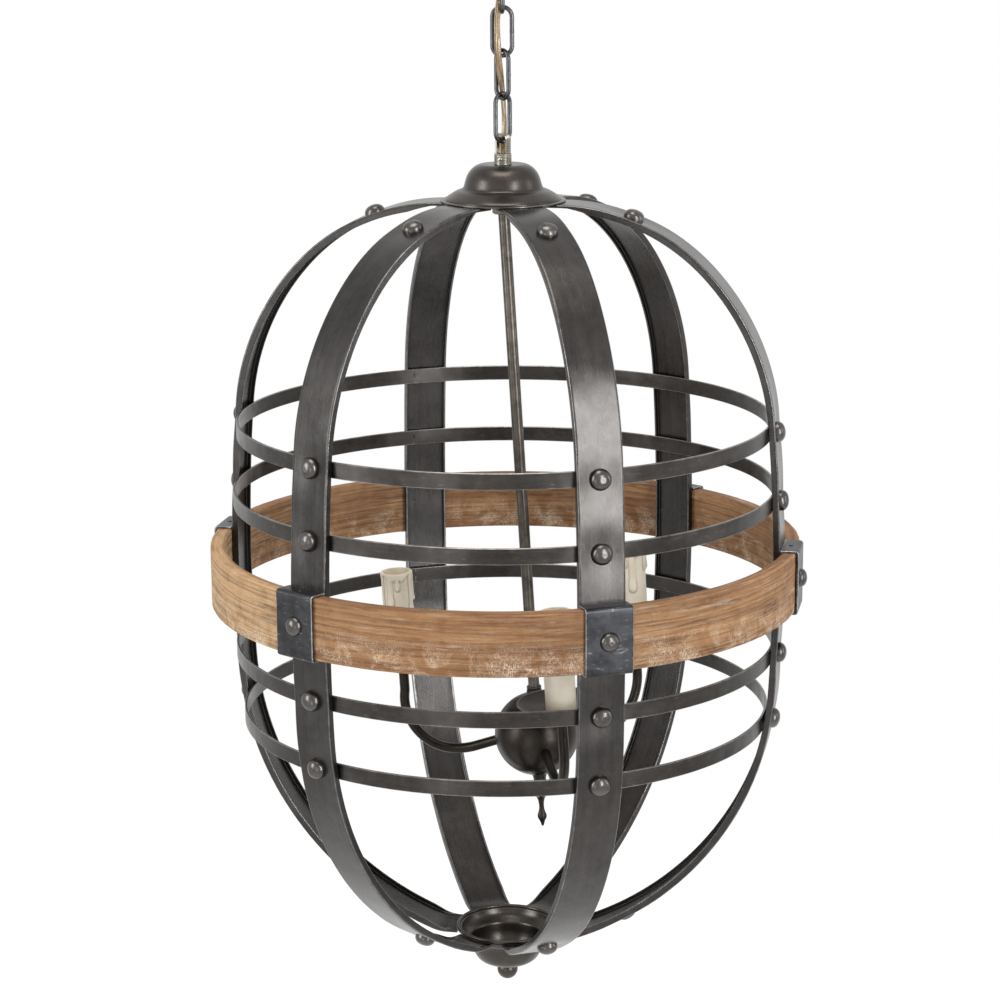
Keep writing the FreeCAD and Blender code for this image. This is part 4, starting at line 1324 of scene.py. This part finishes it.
clamp_spots = [(clamp_outer, 0.0, 0.0)]
make_rivets("hoop_rivet_heads", "hoop_rivets", hoop_spots, rivet_radius, rivet_height)
make_rivets("pole_rivet_heads", "pole_rivets", pole_spots, rivet_radius, rivet_height)
make_rivets("clamp_rivet_heads", "clamp_rivets", clamp_spots, clamp_rivet_radius, clamp_rivet_height)


# Candle cluster: made upright about the ball's middle, then leaned about the top of its rod

lean_deg = 3.3
lean_towards_deg = 14.0
hub_drop = 0.458
hub_radius = 0.036
collar_radius = 0.0064
collar_height = 0.0065
collar_foot = in_mm((6.4, 0.6), (6.7, 2.2), (6.4, 3.4))
collar_head = in_mm((6.1, -1.2), (6.4, -0.6), (6.0, 0))
drop_outline = in_mm(
    (0, -35.0), (6.6, -35.0), (6.2, -37.5), (5.5, -40.0), (5.2, -44.0), (5.4, -48.5), (6.0, -50.6),
    (8.0, -51.9), (9.2, -53.0), (9.0, -54.1), (6.2, -55.6), (3.7, -58.0), (2.5, -61.5), (2.1, -66.0),
    (2.5, -69.8), (3.6, -73.0), (4.0, -75.0), (3.6, -77.0), (2.6, -78.7), (1.7, -81.0), (1.2, -83.0),
    (0.6, -84.0), (0, -84.0),
)
rod_radius = 0.00475
rod_bore_radius = 0.0033
nut_flat_half = 0.0085
nut_height = 0.010
nut_chamfer = 0.0012
nut_bore = 0.0053
nut_depth = 0.004
nut_play = 0.00005
arm_count = 3
arm_turn_deg = -68.0
arm_radius = 0.00425
arm_low_reach = 0.078
arm_low_drop = 0.0175
arm_slope_deg = 18.0
arm_slope_radius = 0.070
arm_rise_radius = 0.042
arm_past_upright_deg = 10.0
arm_return_radius = 0.020
arm_top = 0.052
arm_root = 0.031
# The pan's outline is counted from the arm's top
pan_outline = in_mm(
    (3.1, 0), (6.6, 0), (7.0, 0.4), (7.0, 1.2), (6.2, 2.2), (6.2, 4.2), (7.0, 5.0), (15.0, 5.0), (19.0, 5.1),
    (22.5, 5.9), (27.0, 7.5), (31.5, 9.4), (34.2, 10.8), (35.3, 11.2), (36.0, 12.0), (36.0, 12.6),
    (35.4, 13.2), (34.6, 13.0), (34.0, 12.2), (31.0, 10.4), (26.8, 8.7), (22.2, 7.1), (18.8, 6.3),
    (15.0, 6.2), (3.1, 6.2),
)
pan_floor = 0.0582
pan_play = 0.00005
holder_height = 0.076
holder_radius = 0.0104
holder_bore = 0.0071
sleeve_radius = 0.0126
sleeve_wall = 0.0012
sleeve_height = 0.082
sleeve_rows = 82
sleeve_steps = 120

lean_towards = math.radians(lean_towards_deg)
lean_axis = Vector((math.sin(lean_towards), -math.cos(lean_towards), 0))
cluster_place = (
    Matrix.Translation((0, 0, disc_low.z))
    @ Matrix.Rotation(math.radians(lean_deg), 4, lean_axis)
    @ Matrix.Translation((0, 0, -hub_drop))
)
arm_step_deg = 360 / arm_count
arm_places = [cluster_place @ turned(arm_turn_deg + arm_step_deg * k) for k in range(arm_count)]


def in_cluster(piece, node):
    piece.matrix_world = cluster_place
    stand_in(piece, node)


def make_rod():
    low = hub_radius - 7 * mm
    high = hub_drop - 5 * mm
    outline = [(rod_bore_radius, low), (rod_radius, low), (rod_radius, high), (rod_bore_radius, high)]
    in_cluster(lathed("cluster_rod", outline, "arm_iron", 48, long_grain=True), "centre_rod")


def make_rod_nut():
    """The hexagon nut under the disc, chamfered below and level above, with the rod going up into it."""
    low = hub_drop - nut_height
    half = nut_chamfer / 2
    tilt = cluster_place.to_3x3()
    rows = [[] for k in range(6)]
    for side in range(6):
        for k in range(6):
            a = math.radians(60 * side - 30 + 10 * k)
            reach = nut_flat_half / math.cos(a - math.radians(60 * side))
            x, y = math.cos(a), math.sin(a)
            # The corners are turned off where the chamfer's cone cuts them
            cut = nut_chamfer * (reach / nut_flat_half - 1) / (1 / math.cos(math.pi / 6) - 1)
            level = -(tilt[2][0] * x + tilt[2][1] * y) * reach / tilt[2][2]
            outline = (
                (nut_bore, low + nut_depth), (nut_bore, low + half), (nut_bore + half, low),
                (nut_flat_half - half, low), (reach, low + half / 2 + cut),
                (reach, hub_drop + level - nut_play),
            )
            for row, (r, z) in zip(rows, outline):
                row.append(Vector((r * x, r * y, z)))
    points = [p for row in rows for p in row]
    grain = [(p.x, p.y, p.z * streak_share) for p in points]
    faces = ring_faces(len(rows), len(rows[0]))
    in_cluster(new_piece("cluster_nut", points, faces, grain, "arm_iron", 20.0), "rod_nut")


def make_hub():
    start_deg = math.degrees(math.acos(collar_radius / hub_radius))
    outline = [(0.0, -hub_radius)] + arc_points(0.0, 0.0, hub_radius, -89, start_deg, 56)
    top = hub_radius + collar_height
    outline += raised(collar_foot, outline[-1][1]) + raised(collar_head, top)
    outline += [(rod_radius, top), (0.0, top)]
    in_cluster(lathed("cluster_ball", outline, "arm_iron", 96, closed=False), "hub_ball")
    outline = smooth_line(drop_outline, 3)
    in_cluster(lathed("cluster_drop", outline, "arm_iron", 48, closed=False), "hub_finial")


def arm_line():
    """Stations (reach, height, slope) along an arm's middle line."""
    slope = math.radians(arm_slope_deg)
    back = math.radians(arm_past_upright_deg)
    low = -arm_low_drop
    slope_reach = arm_low_reach - arm_slope_radius * math.sin(slope)
    slope_height = low + arm_slope_radius * (1 - math.cos(slope))
    root = (arm_root, slope_height + (slope_reach - arm_root) * math.tan(slope))
    # The last arc bends the other way, about a centre outside the arm
    return_reach = arm_low_reach + (arm_rise_radius + arm_return_radius) * math.cos(back)
    return_height = low + arm_rise_radius + (arm_rise_radius + arm_return_radius) * math.sin(back)
    last_reach = return_reach - arm_return_radius
    past_deg = arm_past_upright_deg
    stations = straight_stations(root, (slope_reach, slope_height), 4, -slope)[:-1]
    for arc, turn in (
        ((arm_low_reach, low + arm_slope_radius, arm_slope_radius, -90 - arm_slope_deg, -90, 8), math.pi / 2),
        ((arm_low_reach, low + arm_rise_radius, arm_rise_radius, -90, past_deg, 28), math.pi / 2),
        ((return_reach, return_height, arm_return_radius, 180 + past_deg, 180, 6), -math.pi / 2),
    ):
        stations += [(reach, height, a + turn) for reach, height, a in arc_stations(*arc)[:-1]]
    return stations + straight_stations((last_reach, return_height), (last_reach, arm_top), 3, math.pi / 2)


arm_reach = arm_line()[-1][0]
candle_places = [place @ Matrix.Translation((arm_reach, 0, 0)) for place in arm_places]


def make_arms():
    rings = []
    for reach, height, slope in arm_line():
        side = (-arm_radius * math.sin(slope), 0, arm_radius * math.cos(slope))
        rings.append(oval((reach, 0, height), side, (0, arm_radius, 0), 20))
    first = swept("cluster_arm_1", rings, "arm_iron")
    for k, arm in enumerate(repeated(first, "cluster_arm_%d", arm_places)):
        stand_in(arm, "candle_arm_%d" % (k + 1))


def make_pans():
    first = lathed("cluster_pan_1", pan_outline, "pan_metal", 96, at=(0, 0, arm_top))
    for k, pan in enumerate(repeated(first, "cluster_pan_%d", candle_places)):
        stand_in(pan, "drip_pan_%d" % (k + 1))


def make_holders():
    bottom = pan_floor + pan_play
    top = bottom + holder_height
    outer, bore = holder_radius, holder_bore
    floor = top - 24 * mm
    turns = thread(bore + 0.4 * mm, floor + mm, top - mm, 2.6 * mm, 0.4 * mm)
    outline = [(0.0, bottom), (outer, bottom), (outer, top - 0.6 * mm), (outer - 0.6 * mm, top)]
    outline += [(bore + 0.5 * mm, top)] + turns[::-1]
    outline += [(bore, floor), (2.2 * mm, floor), (2.0 * mm, floor + 1.5 * mm), (0.0, floor + 1.8 * mm)]
    first = lathed("holder_1", outline, "holder_plastic", 48, closed=False)
    holders = list(repeated(first, "holder_%d", candle_places))
    stand_in(joined("bulb_holders", holders), "lamp_holders")


def drips(candle):
    """Runs of wax on a candle: (angle, half width, how far down the end is, thickness)."""
    runs = []
    for k in range(9):
        angle = 2 * math.pi * (k + 0.30 * math.sin(2.7 * k + 1.9 * candle)) / 9
        length = 12 * mm + 24 * mm * (0.5 + 0.5 * math.sin(4.1 * k + 2.3 * candle))
        runs.append((angle, 2.3 * mm + 0.7 * mm * math.sin(3.3 * k + candle), length, 1.6 * mm))
    return runs


def wax_thickness(candle, runs, angle, down):
    """How far the wax stands out at an angle, at a distance down from the top."""
    thick = 0.0
    collar = 4.5 * mm + 1.8 * mm * math.sin(3 * angle + candle) + 1.0 * mm * math.sin(7 * angle + 2 * candle)
    if down < collar:
        thick = 1.2 * mm * min(1.0, (collar - down) / (1.2 * mm)) ** 0.5
    for at, half, length, depth in runs:
        across = math.remainder(angle - at, 2 * math.pi) * sleeve_radius
        wide = half * (0.85 + 0.35 * max(0.0, 1 - abs(down - length + half) / (2.5 * half)))
        left = 1 - (across / wide) ** 2 - (max(down - length, 0.0) / wide) ** 2
        if left > 0:
            swell = 1.0 + 0.35 * max(0.0, 1 - abs(down - length) / (2 * half))
            thick = max(thick, depth * swell * left ** 0.5)
    return thick


def make_sleeves():
    """Tubes with runs of wax outside, from the foot up, over the rim and down inside."""
    bottom = pan_floor + pan_play
    for c, place in enumerate(candle_places):
        runs = drips(c)
        points = []
        for k in range(sleeve_rows + 1):
            height = sleeve_height * k / sleeve_rows
            softened = 0.4 * mm if k == sleeve_rows else 0.0
            for a in angles(sleeve_steps):
                r = sleeve_radius + wax_thickness(c, runs, a, sleeve_height - height) - softened
                points.append((r * math.cos(a), r * math.sin(a), bottom + height))
        inside = ((sleeve_wall / 2, sleeve_height), (sleeve_wall, sleeve_height), (sleeve_wall, 0.0))
        for wall, height in inside:
            r = sleeve_radius - wall
            points += [(r * math.cos(a), r * math.sin(a), bottom + height) for a in angles(sleeve_steps)]
        faces = ring_faces(len(points) // sleeve_steps, sleeve_steps, closed=True)
        sleeve = new_piece("candle_%d" % (c + 1), points, faces, points, "candle_sleeve", 60.0)
        sleeve.matrix_world = place
        stand_in(sleeve, "candle_sleeve_%d" % (c + 1), "candle_%d" % (c + 1))


make_rod()
make_rod_nut()
make_hub()
make_arms()
make_pans()
make_holders()
make_sleeves()


# CAD nodes that keep their shape get the detailed materials

for record_part in frame["record"]["subparts"]:
    node = frame["nodes"][record_part["node"]]
    node.data.materials.clear()
    node.data.materials.append(materials[record_part["material_slot"]])


# Floor, lights and background

floor_level = -2.60
floor_half = 5.0
floor_colour = (0.85, 0.85, 0.85)
floor_glow = 0.7
world_diffuse = 0.36
white = (1.0, 1.0, 1.0)
cool_colour = (0.95, 0.98, 1.0)
warm_colour = (1.0, 0.95, 0.90)
light_distance = 2.6
middle = (0, 0, ring_level)


def make_floor():
    mesh = bpy.data.meshes.new("floor")
    signs = ((-1, -1), (1, -1), (1, 1), (-1, 1))
    corners = [(x * floor_half, y * floor_half, floor_level) for x, y in signs]
    mesh.from_pydata(corners, [], [(0, 1, 2, 3)])
    material = bpy.data.materials.new("floor")
    material.use_nodes = True
    nodes = Nodes(material.node_tree)
    matt = nodes.filled("BsdfDiffuse", {"Color": floor_colour})
    strength = nodes.times(nodes.seen_directly(), floor_glow)
    glow = nodes.filled("Emission", {"Color": white, "Strength": strength})
    both = nodes.filled("AddShader", {0: matt.outputs[0], 1: glow.outputs[0]})
    nodes.filled("OutputMaterial", {0: both.outputs[0]})
    mesh.materials.append(material)
    new_object("floor", mesh)


def make_light(name, size, power, place, colour=cool_colour):
    """A lamp with a rectangular face, turned towards the middle of the cage."""
    data = bpy.data.lights.new(name, "AREA")
    data.color = colour
    data.shape = "RECTANGLE"
    data.size, data.size_y = size
    data.energy = power
    light = new_object(name, data)
    light.location = place
    light.rotation_euler = (Vector(middle) - Vector(place)).to_track_quat("-Z", "Y").to_euler()


def around(azimuth_deg, rise):
    """A place at the lamps' distance from the axis, at a height over the ring."""
    a = math.radians(azimuth_deg)
    return light_distance * math.cos(a), light_distance * math.sin(a), ring_level + rise


def make_world():
    world = bpy.data.worlds.new("studio")
    bpy.context.scene.world = world
    world.use_nodes = True
    nodes = Nodes(world.node_tree)
    strength = nodes.spread_out(nodes.seen_directly(), 0.0, 1.0, world_diffuse, 1.0)
    sky = nodes.filled("Background", {"Color": white, "Strength": strength})
    nodes.filled("OutputWorld", {0: sky.outputs[0]})


make_floor()
make_light("right_light", (0.46, 2.0), 50.0, around(318.0, 0.55))
make_light("left_light", (0.90, 1.8), 42.0, around(216.0, 0.60))
make_light("front_light", (0.60, 1.2), 6.0, around(258.0, -0.30))
make_light("side_light", (0.30, 1.6), 10.0, around(8.0, 0.50))
make_light("top_light", (1.3, 1.3), 34.0, (0.0, -0.4, ring_level + 2.4), warm_colour)
make_world()
bpy.context.scene.view_settings.view_transform = "Standard"
